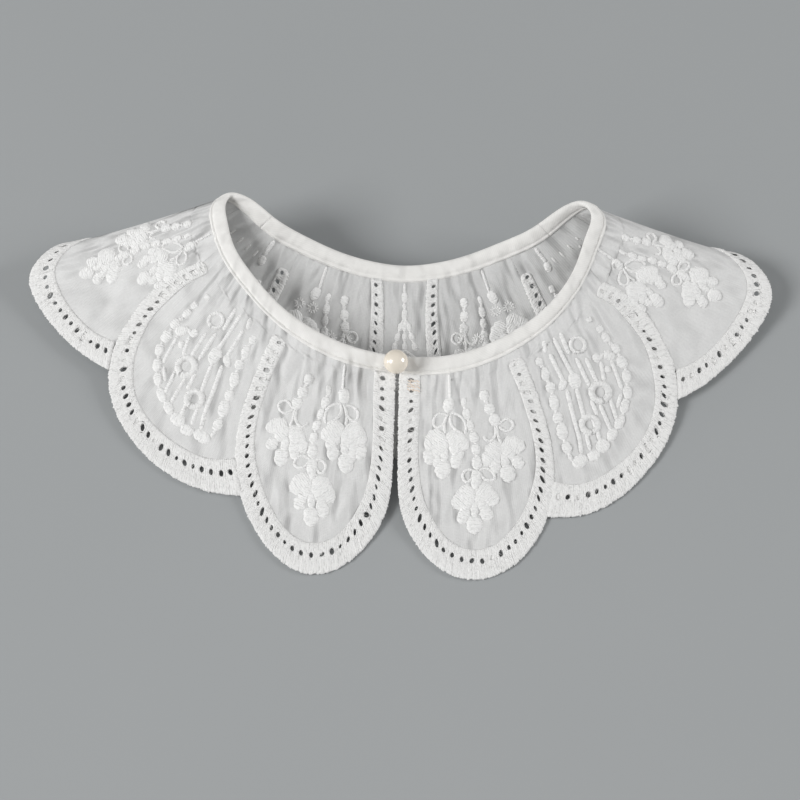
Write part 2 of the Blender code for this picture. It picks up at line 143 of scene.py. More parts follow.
SHOULDER_BAND = (
    (91.7, 73.6, 94.7, 63.5),
    (95.0, 78.2, 97.5, 68.3),
    (99.2, 82.4, 100.8, 71.5),
    (104.0, 85.2, 104.5, 73.2),
    (109.0, 86.5, 109.0, 74.0),
    (114.0, 86.8, 113.8, 74.2),
    (119.0, 86.0, 118.0, 73.5),
    (123.5, 83.8, 121.8, 71.5),
    (127.5, 80.0, 125.0, 68.3),
    (131.0, 75.0, 127.8, 64.0),
    (133.8, 68.0, 129.8, 58.0),
    (135.6, 60.0, 131.2, 50.5),
    (136.5, 50.0, 131.8, 43.0),
    (136.8, 38.0, 132.0, 35.0),
    (136.6, 26.0, 131.8, 25.0),
    (136.0, 15.0, 130.8, 15.0),
    (135.4, 8.0, 130.0, 8.0),
)
REAR_BAND = (
    (134.0, 70.6, 136.6, 60.5),
    (136.8, 75.5, 138.8, 65.0),
    (140.3, 79.6, 141.4, 68.2),
    (144.5, 82.0, 144.8, 70.0),
    (149.0, 82.8, 148.8, 70.6),
    (153.3, 81.6, 152.5, 69.6),
    (157.2, 78.2, 155.4, 66.8),
    (160.2, 72.8, 157.4, 62.5),
    (162.2, 65.0, 158.7, 56.0),
    (163.2, 55.0, 159.3, 48.0),
    (163.5, 43.0, 159.4, 40.0),
    (163.4, 31.0, 159.2, 30.0),
    (162.9, 20.0, 158.6, 20.0),
    (162.4, 8.5, 157.9, 8.5),
)
BACK_BAND = (
    (162.0, 69.5, 164.0, 59.5),
    (165.2, 75.5, 166.5, 64.7),
    (169.0, 80.5, 169.6, 68.8),
    (173.6, 83.8, 173.5, 71.3),
    (178.6, 85.0, 178.0, 72.2),
    (183.6, 84.0, 182.4, 71.4),
    (188.6, 80.5, 186.6, 68.7),
    (193.0, 75.0, 190.0, 64.2),
    (196.6, 68.0, 192.8, 58.2),
    (199.2, 59.5, 194.8, 51.3),
    (200.9, 49.0, 196.4, 43.0),
    (201.8, 37.0, 197.1, 35.0),
    (201.8, 24.0, 197.0, 24.0),
    (201.2, 13.0, 196.4, 13.0),
    (199.6, 0.6, 194.8, 0.6),
)
CENTRE_HALF = (
    (197.4, 70.2, 200.2, 60.0),
    (199.7, 74.6, 201.9, 64.0),
    (202.8, 78.2, 204.0, 66.8),
    (205.8, 80.0, 206.4, 68.4),
)
CENTRE_BAND = CENTRE_HALF + ((209.0, 80.6, 209.0, 69.0),) + tuple(
    (LOOP - a, b, LOOP - c, d) for a, b, c, d in CENTRE_HALF[::-1])


def on_both_halves(rows):
    """Folds of the right half, each followed by the same fold mirrored on the left."""
    return tuple(row for at, down, half, wide, lean, height in rows
                 for row in ((at, down, half, wide, lean, height),
                             (LOOP - at, down, half, wide, -lean, height)))


# Large soft folds: loop, reach, half length, half width, lean, height
FOLDS = on_both_halves((
    (27.0, 34.0, 26.0, 11.0, 0.0, 1.5),
    (75.0, 40.0, 26.0, 11.0, 0.0, 1.4),
    (107.0, 45.0, 26.0, 7.0, 0.0, 1.2),
    (88.0, 30.0, 20.0, 4.0, 2.0, -0.8),
)) + (
    (381.0, 9.0, 9.0, 2.2, -3.0, 0.8),
    (374.0, 12.0, 9.0, 2.0, -2.0, 0.7),
    (403.0, 62.0, 8.0, 3.0, -6.0, -0.8),
    (14.0, 24.0, 12.0, 3.0, 3.0, -0.7),
    (33.0, 16.0, 10.0, 3.0, 2.0, -0.6),
)

# Small creases added here, as soft troughs and ridges: same columns as the folds
CREASES = (
    (22.5, 5.0, 9.0, 0.9, 0.3, 0.45),
    (19.8, 8.0, 9.0, 1.3, -1.2, -0.4),
    (25.3, 8.0, 10.0, 1.4, 2.4, -0.45),
    (30.0, 9.0, 10.0, 1.2, 3.5, 0.3),
    (40.0, 12.0, 12.0, 2.0, 2.0, -0.35),
    (12.0, 46.0, 9.0, 2.6, 2.5, -0.45),
    (24.0, 50.0, 8.0, 3.0, -4.0, -0.4),
    (36.0, 62.0, 8.0, 3.2, -3.0, 0.35),
    (45.0, 52.0, 12.0, 2.0, 1.0, -0.3),
    (397.0, 6.0, 10.0, 1.0, -1.0, 0.45),
    (400.0, 8.0, 10.0, 1.2, 1.0, -0.4),
    (390.0, 10.0, 10.0, 1.3, -3.0, 0.5),
    (386.0, 9.0, 9.0, 1.2, -3.0, -0.45),
    (378.0, 10.0, 9.0, 1.2, -3.0, -0.4),
    (371.5, 10.0, 9.0, 1.1, -2.0, -0.4),
    (409.0, 58.0, 7.0, 2.2, -5.0, 0.4),
    (398.0, 50.0, 8.0, 2.0, -4.0, -0.35),
    (60.0, 8.0, 12.0, 1.4, 1.0, -0.3),
    (64.5, 6.0, 10.0, 1.1, 0.6, 0.3),
    (80.0, 6.0, 9.0, 1.3, -0.8, -0.35),
    (84.5, 58.0, 10.0, 1.6, 3.5, 0.3),
    (81.5, 56.0, 10.0, 1.4, 3.5, -0.3),
    (66.0, 64.0, 7.0, 2.0, 2.0, -0.3),
    (96.3, 46.0, 18.0, 1.5, 1.2, -0.55),
    (99.0, 50.0, 16.0, 1.3, 1.0, 0.4),
    (101.8, 46.0, 16.0, 1.2, 0.6, -0.35),
    (112.0, 58.0, 12.0, 1.6, 1.5, 0.35),
    (100.5, 8.0, 9.0, 0.9, 0.8, 0.5),
    (103.0, 8.0, 9.0, 1.0, 0.8, -0.4),
    (110.0, 7.0, 9.0, 1.1, 0.5, -0.35),
    (358.0, 8.0, 12.0, 1.4, -1.0, -0.3),
    (353.0, 8.0, 11.0, 1.2, -0.8, 0.3),
    (338.0, 7.0, 10.0, 1.3, 0.8, -0.35),
    (333.5, 56.0, 10.0, 1.6, -3.5, -0.3),
    (322.0, 46.0, 18.0, 1.5, -1.2, -0.5),
    (319.0, 48.0, 16.0, 1.3, -1.0, 0.4),
    (316.0, 44.0, 16.0, 1.2, -0.6, -0.35),
    (305.0, 56.0, 12.0, 1.6, -1.5, 0.35),
    (317.5, 8.0, 9.0, 1.0, -0.8, 0.45),
    (314.0, 8.0, 9.0, 1.0, -0.8, -0.4),
    (188.0, 14.0, 14.0, 2.0, -1.0, 0.4),
    (184.0, 16.0, 14.0, 1.6, -1.0, -0.35),
    (172.0, 14.0, 14.0, 2.0, 1.0, -0.35),
    (230.0, 16.0, 14.0, 2.0, 1.0, 0.4),
    (235.0, 14.0, 14.0, 1.8, 1.0, -0.35),
    (248.0, 16.0, 14.0, 2.0, -1.0, -0.35),
    (389.0, 58.0, 9.0, 2.6, -4.0, 0.55),
    (401.5, 55.0, 9.0, 2.0, -4.0, 0.60),
    (379.0, 60.0, 8.0, 2.4, 3.0, 0.50),
    (373.0, 50.0, 8.0, 2.0, 2.0, 0.40),
    (394.0, 24.0, 9.0, 2.0, -3.0, 0.50),
    (386.0, 26.0, 9.0, 2.0, -3.0, -0.50),
    (404.0, 20.0, 9.0, 2.0, -1.0, 0.40),
    (13.5, 48.0, 8.0, 2.0, 3.0, 0.55),
    (19.0, 57.0, 7.0, 2.2, -3.0, 0.45),
    (41.0, 62.0, 8.0, 2.2, -3.0, 0.50),
    (35.0, 66.0, 6.0, 2.0, -3.0, 0.45),
    (318.0, 52.0, 12.0, 1.8, 4.0, 0.60),
    (312.0, 50.0, 10.0, 2.0, 3.0, -0.45),
    (306.0, 70.0, 5.0, 3.0, 0.0, 0.40),
    (97.5, 53.0, 10.0, 1.8, -4.0, 0.60),
    (103.5, 52.0, 10.0, 2.0, -3.0, -0.45),
    (101.0, 67.0, 3.0, 5.0, 0.0, 0.40),
) + on_both_halves((
    (148.0, 40.0, 22.0, 2.4, 1.0, 0.5),
    (180.0, 50.0, 16.0, 3.0, 1.0, 0.4),
))


def bend(knots, values):
    """Second slopes of a smooth line through the rows, free at both ends."""
    count = len(knots)
    step = np.diff(knots)
    left = np.zeros((count, count))
    right = np.zeros((count, values.shape[1]))
    left[0, 0] = 1.0
    left[-1, -1] = 1.0
    for i in range(1, count - 1):
        left[i, i - 1] = step[i - 1]
        left[i, i] = 2.0 * (step[i - 1] + step[i])
        left[i, i + 1] = step[i]
        rise = (values[i + 1] - values[i]) / step[i]
        right[i] = 6.0 * (rise - (values[i] - values[i - 1]) / step[i - 1])
    return np.linalg.solve(left, right)


ROWS = np.array(STATIONS)
KNOTS = ROWS[:, 0]
PLACES = ROWS[:, 1:]
SLOPES = bend(KNOTS, PLACES)


def smooth_line(knots, values, slopes, at):
    """Rows of a smooth line through the knots, at any places."""
    i = np.clip(np.searchsorted(knots, at) - 1, 0, len(knots) - 2)
    step = knots[i + 1] - knots[i]
    a = ((knots[i + 1] - at) / step)[:, None]
    b = ((at - knots[i]) / step)[:, None]
    curve = (a ** 3 - a) * slopes[i] + (b ** 3 - b) * slopes[i + 1]
    return a * values[i] + b * values[i + 1] + curve * (step ** 2 / 6.0)[:, None]


def soft_folds(rows, loop, reach):
    """Sum of soft troughs and ridges at pattern places."""
    high = np.zeros_like(loop)
    for at, down, half, wide, lean, height in rows:
        along = (reach - down) / half
        across = (loop - at - lean * along) / wide
        high = high + height * np.exp(-(along ** 2 + across ** 2))
    return high


def both(loop, reach):
    """Loop and reach as two float arrays of one length."""
    return np.broadcast_arrays(np.atleast_1d(np.asarray(loop, float)), np.asarray(reach, float))


def cloth(loop, reach):
    """Middle of the cloth in millimetres at pattern places (loop, reach)."""
    loop, reach = both(loop, reach)
    row = smooth_line(KNOTS, PLACES, SLOPES, loop)
    part = (reach / REACH)[:, None]
    plan = row[:, 0:2] * (1.0 - part) + row[:, 3:5] * part
    drop = np.clip(1.0 - reach / row[:, 6], 0.0, None) ** SAG
    last = np.clip(1.0 - REACH / row[:, 6], 0.0, None) ** SAG
    high = row[:, 5] + (row[:, 2] - row[:, 5]) * (drop - last) / (1.0 - last)
    high = np.maximum(high + soft_folds(FOLDS, loop, reach) - 0.1, LEVEL)
    return np.column_stack([plan, high])


def outward(loop, reach, step=0.4):
    """Direction of the embroidered face at pattern places."""
    loop, reach = both(loop, reach)
    round_loop = cloth(loop + step, reach) - cloth(loop - step, reach)
    down = cloth(loop, reach + step) - cloth(loop, reach - step)
    face = np.cross(down, round_loop)
    return face / np.linalg.norm(face, axis=1)[:, None]


def surface(loop, reach, lift=0.0):
    """Points in metres at a height over the middle of the creased cloth."""
    loop, reach = both(loop, reach)
    base = cloth(loop, reach)
    face = outward(loop, reach)
    crease = CREASE_DEPTH * soft_folds(CREASES, loop, reach)
    troughs = np.clip((base[:, 2] - LEVEL) / 1.5, FLAT_TROUGH, 1.0)
    crease = np.where(crease < 0.0, crease * troughs, crease)
    place = base + face * (crease + lift)[:, None]
    place[:, 2] = np.maximum(place[:, 2], 0.02)
    return (place - np.array([ORIGIN[0], ORIGIN[1], 0.0])) * MM


def run_length(line):
    """True length along a pattern line from its first point to each of its points."""
    place = cloth(line[:, 0], line[:, 1])
    gaps = np.linalg.norm(np.diff(place, axis=0), axis=1)
    return np.concatenate([[0.0], np.cumsum(gaps)])


def sideways(line):
    """True direction across a pattern line, at each of its points."""
    way = np.gradient(cloth(line[:, 0], line[:, 1]), axis=0)
    side = np.cross(outward(line[:, 0], line[:, 1]), way)
    return side / np.linalg.norm(side, axis=1)[:, None]


def trace(rows, start, stop, count):
    """Evenly spaced pattern points along a table line, from one row number to another."""
    rows = np.asarray(rows, float)
    length = run_length(rows)
    ends = np.interp([start, stop], np.arange(len(rows)), length)
    at = np.linspace(ends[0], ends[1], count)
    return smooth_line(length, rows, bend(length, rows), at)


def moved(place, move):
    """Pattern places after true moves in millimetres over the cloth."""
    along = cloth(place[:, 0] + 0.5, place[:, 1]) - cloth(place[:, 0] - 0.5, place[:, 1])
    down = cloth(place[:, 0], place[:, 1] + 0.5) - cloth(place[:, 0], place[:, 1] - 0.5)
    aa = np.sum(along * along, axis=1)
    ad = np.sum(along * down, axis=1)
    dd = np.sum(down * down, axis=1)
    pa = np.sum(along * move, axis=1)
    pd = np.sum(down * move, axis=1)
    whole = aa * dd - ad * ad
    return place + np.column_stack([(pa * dd - pd * ad) / whole, (pd * aa - pa * ad) / whole])


def beside(line, space, towards):
    """A pattern line moved sideways on the cloth by a true space, to the side of a point."""
    line = np.asarray(line, float)
    side = sideways(line)
    middle = cloth(towards[0], towards[1])[0]
    if np.sum((middle - cloth(line[:, 0], line[:, 1])) * side) < 0.0:
        side = -side
    return moved(line, side * space)


def filled_share(reach):
    """How far across an upper band the lower petal's lawn runs, which closes its eyelets."""
    return FILLED_SHARE * np.clip((FILLED_TO - reach) / FILLED_FADE, 0.0, 1.0)


def evened(line, count):
    """A pattern line cut again into evenly spaced points."""
    length = run_length(line)
    at = np.linspace(0.0, length[-1], count)
    return np.column_stack([np.interp(at, length, line[:, 0]), np.interp(at, length, line[:, 1])])


# name, band rows, row that is the petal tip, middle of the petal
PETALS = (
    ("front", FRONT_BAND, 8, (28.0, 40.0)),
    ("side", SIDE_BAND, 10, (74.0, 40.0)),
    ("shoulder", SHOULDER_BAND, 5, (113.0, 40.0)),
    ("rear", REAR_BAND, 4, (148.0, 40.0)),
    ("back", BACK_BAND, 4, (180.0, 40.0)),
    ("centre", CENTRE_BAND, 4, (209.0, 40.0)),
)
# Upper neighbour's band edge beside each petal: row at the top, row at the notch
NOTCHES = {"side": (17, 12.75), "shoulder": (0, 5.1), "rear": (16, 11.1),
           "back": (13, 8.75), "centre": (14, 9.25)}
# Loop place where each band ends under the binding
BAND_ENDS = {"front": 52.4, "side": 95.9, "shoulder": 135.0, "rear": 162.0, "back": 194.5}
NECK_TUCK = -1.2          # reach at which the lawn ends, under the binding
FILLED_TO = 34.0          # reach to which the lawn below shows in an upper band's eyelets
FILLED_FADE = 10.0        # length over which it draws back from there
FILLED_SHARE = 0.88       # how far across the band it runs
LONG_TRACE = 120          # points along a petal's edge, and along a part of one
SHORT_TRACE = 80
HEAD = 8                  # mesh rows of a lawn panel above the band ends
LAWN_GRID = {"shoulder": (96, 72)}   # mesh rows and columns where they aren't (80, 56)


def petal_edges(number):
    """The two cloth edges of a petal on the right half, tucked under what covers them.

    Each is a head, straight down from the binding past the band's end, and a tail.
    """
    name, rows, tip, middle = PETALS[number]
    inner = [row[2:4] for row in rows]
    last = len(rows) - 1
    if number == 0:
        near = beside(trace(inner, 0, tip, LONG_TRACE), -TUCK, middle)
        far = beside(trace(inner, last, tip, LONG_TRACE), -TUCK, middle)
    else:
        upper_name, upper = PETALS[number - 1][0:2]
        top, notch = NOTCHES[name]
        outside = trace([row[0:2] for row in upper], top, notch, SHORT_TRACE)
        inside = trace([row[2:4] for row in upper], top, notch, SHORT_TRACE)
        across = filled_share(outside[:, 1:2]) if upper_name in ("front", "side") else 0.0
        along = beside(outside * (1.0 - across) + inside * across, -TUCK, middle)
        start, stop = (last, tip) if name == "side" else (0, tip)
        own = beside(trace(inner, start, stop, SHORT_TRACE), -TUCK, middle)
        near = np.vstack([along, own])
        first, second = (0, tip) if name == "side" else (last, tip)
        far = beside(trace(inner, first, second, LONG_TRACE), -TUCK, middle)
    near_top = near[0][0] if number == 0 else BAND_ENDS[PETALS[number - 1][0]] - 0.1
    far_top = BAND_ENDS.get(name, far[0][0] - 0.15) + 0.15
    edges = []
    for top, tail in ((near_top, near), (far_top, far)):
        head_end = tail[0][1] + TUCK
        head = np.column_stack([np.full(HEAD, top), np.linspace(NECK_TUCK, head_end, HEAD)])
        edges.append((head, tail[tail[:, 1] > head_end + 0.4]))
    return edges


# Materials: reliefs of the lawn, its weave and slubs as shares of its crumples in metres
CRUMPLE_DEEP = 0.0095
WEAVE_RELIEF = 0.012
SLUB_RELIEF = 0.008


def coordinates(tree, kind):
    """Object coordinates, or the pattern's own."""
    return tree.nodes.new("ShaderNodeTexCoord").outputs[kind]


def stretched(tree, vector, scale):
    """Coordinates times a scale in each direction."""
    made = tree.nodes.new("ShaderNodeMapping")
    made.inputs["Scale"].default_value = scale
    tree.links.new(vector, made.inputs["Vector"])
    return made.outputs["Vector"]


def ramp(tree, source, low, high, start=0.3, stop=0.7):
    """A soft change between two colours by a grey value."""
    made = tree.nodes.new("ShaderNodeValToRGB")
    made.color_ramp.elements[0].position = start
    made.color_ramp.elements[1].position = stop
    made.color_ramp.elements[0].color = (*low, 1.0)
    made.color_ramp.elements[1].color = (*high, 1.0)
    tree.links.new(source, made.inputs["Fac"])
    return made.outputs["Color"]


def new_material(name, rough, sheen=0.0):
    """An empty material: its tree and its Principled shader."""
    made = bpy.data.materials.new(name)
    made.use_nodes = True
    tree = made.node_tree
    shader = tree.nodes["Principled BSDF"]
    shader.inputs["Roughness"].default_value = rough
    shader.inputs["Specular IOR Level"].default_value = 0.25
    shader.inputs["Sheen Weight"].default_value = sheen
    shader.inputs["Sheen Roughness"].default_value = 0.5
    return made, tree, shader


def wave(tree, vector, scale, direction, distortion=0.0):
    """Parallel threads as a grey wave."""
    made = tree.nodes.new("ShaderNodeTexWave")
    made.wave_type = "BANDS"
    made.bands_direction = direction
    made.wave_profile = "SIN"
    made.inputs["Scale"].default_value = scale
    made.inputs["Distortion"].default_value = distortion
    made.inputs["Detail"].default_value = 2.0
    made.inputs["Detail Scale"].default_value = 1.5
    tree.links.new(vector, made.inputs["Vector"])
    return made.outputs["Fac"]


def maths(tree, operation, first, second):
    """One sum on grey values."""
    made = tree.nodes.new("ShaderNodeMath")
    made.operation = operation
    for k, value in enumerate((first, second)):
        if isinstance(value, (int, float)):
            made.inputs[k].default_value = value
        else:
            tree.links.new(value, made.inputs[k])
    return made.outputs[0]


def bump(tree, shader, height, strength, distance):
    """Relief in metres on a shader."""
    made = tree.nodes.new("ShaderNodeBump")
    made.inputs["Strength"].default_value = strength
    made.inputs["Distance"].default_value = distance
    tree.links.new(height, made.inputs["Height"])
    tree.links.new(made.outputs["Normal"], shader.inputs["Normal"])


def speckle(tree, vector, scale, detail=3.0):
    """Noise as a grey value."""
    made = tree.nodes.new("ShaderNodeTexNoise")
    made.inputs["Scale"].default_value = scale
    made.inputs["Detail"].default_value = detail
    tree.links.new(vector, made.inputs["Vector"])
    return made.outputs["Fac"]


def lawn_material(name, cover):
    """Sheer cotton lawn: fine plain weave, slight slubs, the layer below showing through."""
    made, tree, shader = new_material(name, 0.9, 0.15)
    pattern = coordinates(tree, "UV")
    space = coordinates(tree, "Object")
    warp = wave(tree, pattern, 5.0, "X", 0.8)
    weft = wave(tree, pattern, 5.0, "Y", 0.8)
    weave = maths(tree, "MULTIPLY", warp, weft)
    slub = speckle(tree, space, 1300.0)
    crumple = speckle(tree, stretched(tree, pattern, (2.0, 0.65, 1.0)), 1.0, 0.6)
    colour = ramp(tree, slub, (0.895, 0.895, 0.888), (0.925, 0.924, 0.916), 0.35, 0.65)
    tree.links.new(colour, shader.inputs["Base Color"])
    thin = maths(tree, "MULTIPLY", slub, 0.05)
    tree.links.new(maths(tree, "ADD", thin, cover), shader.inputs["Alpha"])
    fine = maths(tree, "ADD", maths(tree, "MULTIPLY", weave, WEAVE_RELIEF),
                 maths(tree, "MULTIPLY", slub, SLUB_RELIEF))
    bump(tree, shader, maths(tree, "ADD", fine, crumple), 0.8, CRUMPLE_DEEP)
    return made


def stitch_material(name, low, high):
    """Dense satin and buttonhole stitching: threads lie across the edge, slightly uneven."""
    made, tree, shader = new_material(name, 0.7, 0.2)
    pattern = coordinates(tree, "UV")
    space = coordinates(tree, "Object")
    threads = wave(tree, pattern, 3.4, "X", 3.0)
    streak = speckle(tree, stretched(tree, pattern, (11.0, 3.5, 1.0)), 1.0, 2.0)
    fuzz = speckle(tree, space, 850.0)
    mixed = maths(tree, "ADD", maths(tree, "MULTIPLY", threads, 0.2), streak)
    mixed = maths(tree, "ADD", mixed, fuzz)
    colour = ramp(tree, mixed, low, high, 0.75, 1.4)
    tree.links.new(colour, shader.inputs["Base Color"])
    bump(tree, shader, mixed, 0.9, 0.0006)
    return made


def binding_material():
    """Off-white cotton cut on the bias: a slanted fine weave."""
    made, tree, shader = new_material("bias_binding", 0.8, 0.2)
    pattern = coordinates(tree, "UV")
    space = coordinates(tree, "Object")
    slant = wave(tree, pattern, 5.5, "DIAGONAL", 1.0)
    slub = speckle(tree, space, 240.0)
    pucker = speckle(tree, stretched(tree, pattern, (1.5, 1.2, 1.0)), 1.0, 0.8)
    height = maths(tree, "ADD", maths(tree, "MULTIPLY", slant, 0.25), slub)
    colour = ramp(tree, height, (0.85, 0.84, 0.815), (0.92, 0.91, 0.885), 0.35, 0.9)
    tree.links.new(colour, shader.inputs["Base Color"])
    relief = maths(tree, "ADD", maths(tree, "MULTIPLY", height, 0.05), pucker)
    bump(tree, shader, relief, 0.7, 0.0036)
    return made


def thread_material(name, low, high):
    """Sewing thread with a fine ply."""
    made, tree, shader = new_material(name, 0.7, 0.2)
    space = coordinates(tree, "Object")
    ply = speckle(tree, space, 1500.0)
    tree.links.new(ramp(tree, ply, low, high), shader.inputs["Base Color"])
    bump(tree, shader, ply, 0.4, 0.0001)
    return made


def pearl_material():
    """Cream pearl: soft cloudy colour and a painted warm reflection towards its rim, under a clear
    gloss.
    """
    made, tree, shader = new_material("pearl", 0.30)
    shader.inputs["Specular IOR Level"].default_value = 0.8
    shader.inputs["Coat Weight"].default_value = 1.0
    shader.inputs["Coat Roughness"].default_value = 0.14
    shader.inputs["Coat IOR"].default_value = 1.8
    space = coordinates(tree, "Object")
    cloud = speckle(tree, space, 180.0, 2.0)
    # Painted warm reflection: the colour turns warmer towards the rim by how the face turns from the
    # view, over the pearl's own cloudy tone
    facing = tree.nodes.new("ShaderNodeLayerWeight")
    facing.inputs["Blend"].default_value = 0.35
    tone_and_painted_rim = maths(tree, "ADD", maths(tree, "MULTIPLY", cloud, 0.3),
                 maths(tree, "MULTIPLY", facing.outputs["Facing"], 0.8))
    colour = ramp(tree, tone_and_painted_rim, (0.92, 0.84, 0.72), (0.94, 0.83, 0.67), 0.25, 0.95)
    tree.links.new(colour, shader.inputs["Base Color"])
    bump(tree, shader, cloud, 0.05, 0.0002)
    return made


LAWN_LOOK = lawn_material("cotton_lawn", 0.74)
# Painted shade: a sheerer copy of the same lawn for the back petals, so the shaded table shows through
# and they read darker
SHADED_LAWN_LOOK = lawn_material("cotton_lawn_painted_shade", 0.60)
STITCH_LOOK = stitch_material("border_stitching", (0.72, 0.717, 0.705), (0.90, 0.897, 0.885))
SATIN_LOOK = stitch_material("satin_stitching", (0.80, 0.798, 0.788), (0.935, 0.933, 0.923))
BINDING_LOOK = binding_material()
THREAD_LOOK = thread_material("thread", (0.80, 0.79, 0.76), (0.90, 0.89, 0.86))
PEACH_LOOK = thread_material("peach_thread", (0.84, 0.72, 0.62), (0.90, 0.80, 0.70))
PEARL_LOOK = pearl_material()


def piece(name, points, faces, uv, look):
    """A mesh piece riding on the collar, with a pattern place for each point."""
    mesh = bpy.data.meshes.new(name)
    mesh.from_pydata(points.tolist(), [], faces)
    layer = mesh.uv_layers.new(name="pattern")
    index = np.empty(len(mesh.loops), np.int32)
    mesh.loops.foreach_get("vertex_index", index)
    layer.data.foreach_set("uv", np.asarray(uv, np.float32)[index].ravel())
    mesh.polygons.foreach_set("use_smooth", [len(face) < 5 for face in faces])
    mesh.materials.append(look)
    thing = bpy.data.objects.new(name, mesh)
    bpy.context.scene.collection.objects.link(thing)
    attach(thing, "root")
    return thing


def grid_faces(rows, columns, start=0, flip=False, closed=False):
    """Quads of a grid whose points are numbered row by row. A closed grid runs all round."""
    faces = []
    for r in range(rows - 1):
        k = start + r * columns
        for c in range(columns if closed else columns - 1):
            n = (c + 1) % columns
            quad = (k + c, k + n, k + columns + n, k + columns + c)
            faces.append(quad[::-1] if flip else quad)
    return faces


def shell_faces(rows, columns):
    """Faces of a closed thin shell: a top grid, a bottom grid and the rim."""
    count = rows * columns
    faces = grid_faces(rows, columns) + grid_faces(rows, columns, count, True)
    ring = list(range(columns))
    ring += [r * columns + columns - 1 for r in range(1, rows)]
    ring += [(rows - 1) * columns + c for c in range(columns - 2, -1, -1)]
    ring += [r * columns for r in range(rows - 2, 0, -1)]
    for k, one in enumerate(ring):
        two = ring[(k + 1) % len(ring)]
        faces.append((two, one, one + count, two + count))
    return faces


def mirrored(edge):
    """The same pattern edge, a head and a tail, on the left half."""
    return [np.column_stack([LOOP - line[:, 0], line[:, 1]]) for line in edge]


def lawn_panel(name, near, far, downs, across, look):
    """A petal's lawn as a thin shell between its two edges."""
    near = np.vstack([near[0], evened(near[1], downs - HEAD)])
    far = np.vstack([far[0], evened(far[1], downs - HEAD)])
    share = np.linspace(0.0, 1.0, across)[None, :, None]
    place = (near[:, None, :] * (1.0 - share) + far[:, None, :] * share).reshape(-1, 2)
    top = surface(place[:, 0], place[:, 1], 0.5 * LAWN)
    low = surface(place[:, 0], place[:, 1], -0.5 * LAWN)
    uv = place / 10.0
    return piece(name, np.vstack([top, low]), shell_faces(downs, across),
                 np.vstack([uv, uv]), look)


# Border: share of the width from the outer edge, height of the stitching there
PROFILE = np.array((
    (0.00, 0.30), (0.03, 0.58), (0.09, 0.76), (0.18, 0.86), (0.28, 0.88), (0.37, 0.84),
    (0.43, 0.76), (0.50, 0.72), (0.60, 0.70), (0.70, 0.72), (0.77, 0.76), (0.83, 0.80),
    (0.90, 0.74), (0.96, 0.58), (1.00, 0.28),
))
OUTER_LINES = (0.0, 0.03, 0.09, 0.18, 0.27, 0.36, 0.42)
HOLE_LINES = (0.42, 0.48, 0.54, 0.60, 0.66, 0.72, 0.78)
INNER_LINES = (0.78, 0.84, 0.90, 0.96, 1.0)
END_STEPS = 2.2           # mesh steps that a band runs on under its neighbour
END_ROUND = 2.4           # radius of a free band end
FLAT_END = 0.4            # share of height and width left at a free end
TEETH = (0.13, 0.16)      # teeth of the edge: step from thread to thread, random part
STREAKS = (0.03, 0.075)   # height of each thread: step from thread to thread, random part
# An eyelet: its middle as a share of the band, half the field it lies in, and its half sizes
HOLE_MIDDLE = 0.60
HOLE_FIELD = 0.18
HOLE_LONG = 0.84
HOLE_DEEP = 0.16          # share of the band's width
HOLE_DEEPEST = 1.1
HOLE_SIZES = (0.72, 1.22)
HOLE_SQUASH = (0.85, 1.25)
HOLE_TURN = 0.35
HOLE_WANDER = (0.25, 0.012)
BARRED_HOLES = 0.28       # share of the open eyelets with a thread across
WIDE_RING = 1.5           # a ring wider than this stays inside the field, by these two shares
FIELD_LONG = 0.44
FIELD_DEEP = 0.155
# Rings round an eyelet from outside in: size of the ring, depth under the band's top
OPEN_RINGS = ((1.75, -0.02), (1.18, -0.05), (1.0, 0.20))
SHUT_RINGS = ((1.5, 0.0), (1.1, 0.08), (0.85, 0.50))
# Of each band: ends tucked under a neighbour, share of filled eyelets near neck and hem
BORDERS = {
    "front": ((True, False), 0.35, 0.06),
    "side": ((False, True), 0.85, 0.15),
    "shoulder": ((True, False), 0.30, 0.25),
    "rear": ((True, False), 0.05, 0.05),
    "back": ((True, True), 0.05, 0.05),
    "centre": ((True, True), 0.05, 0.05),
}


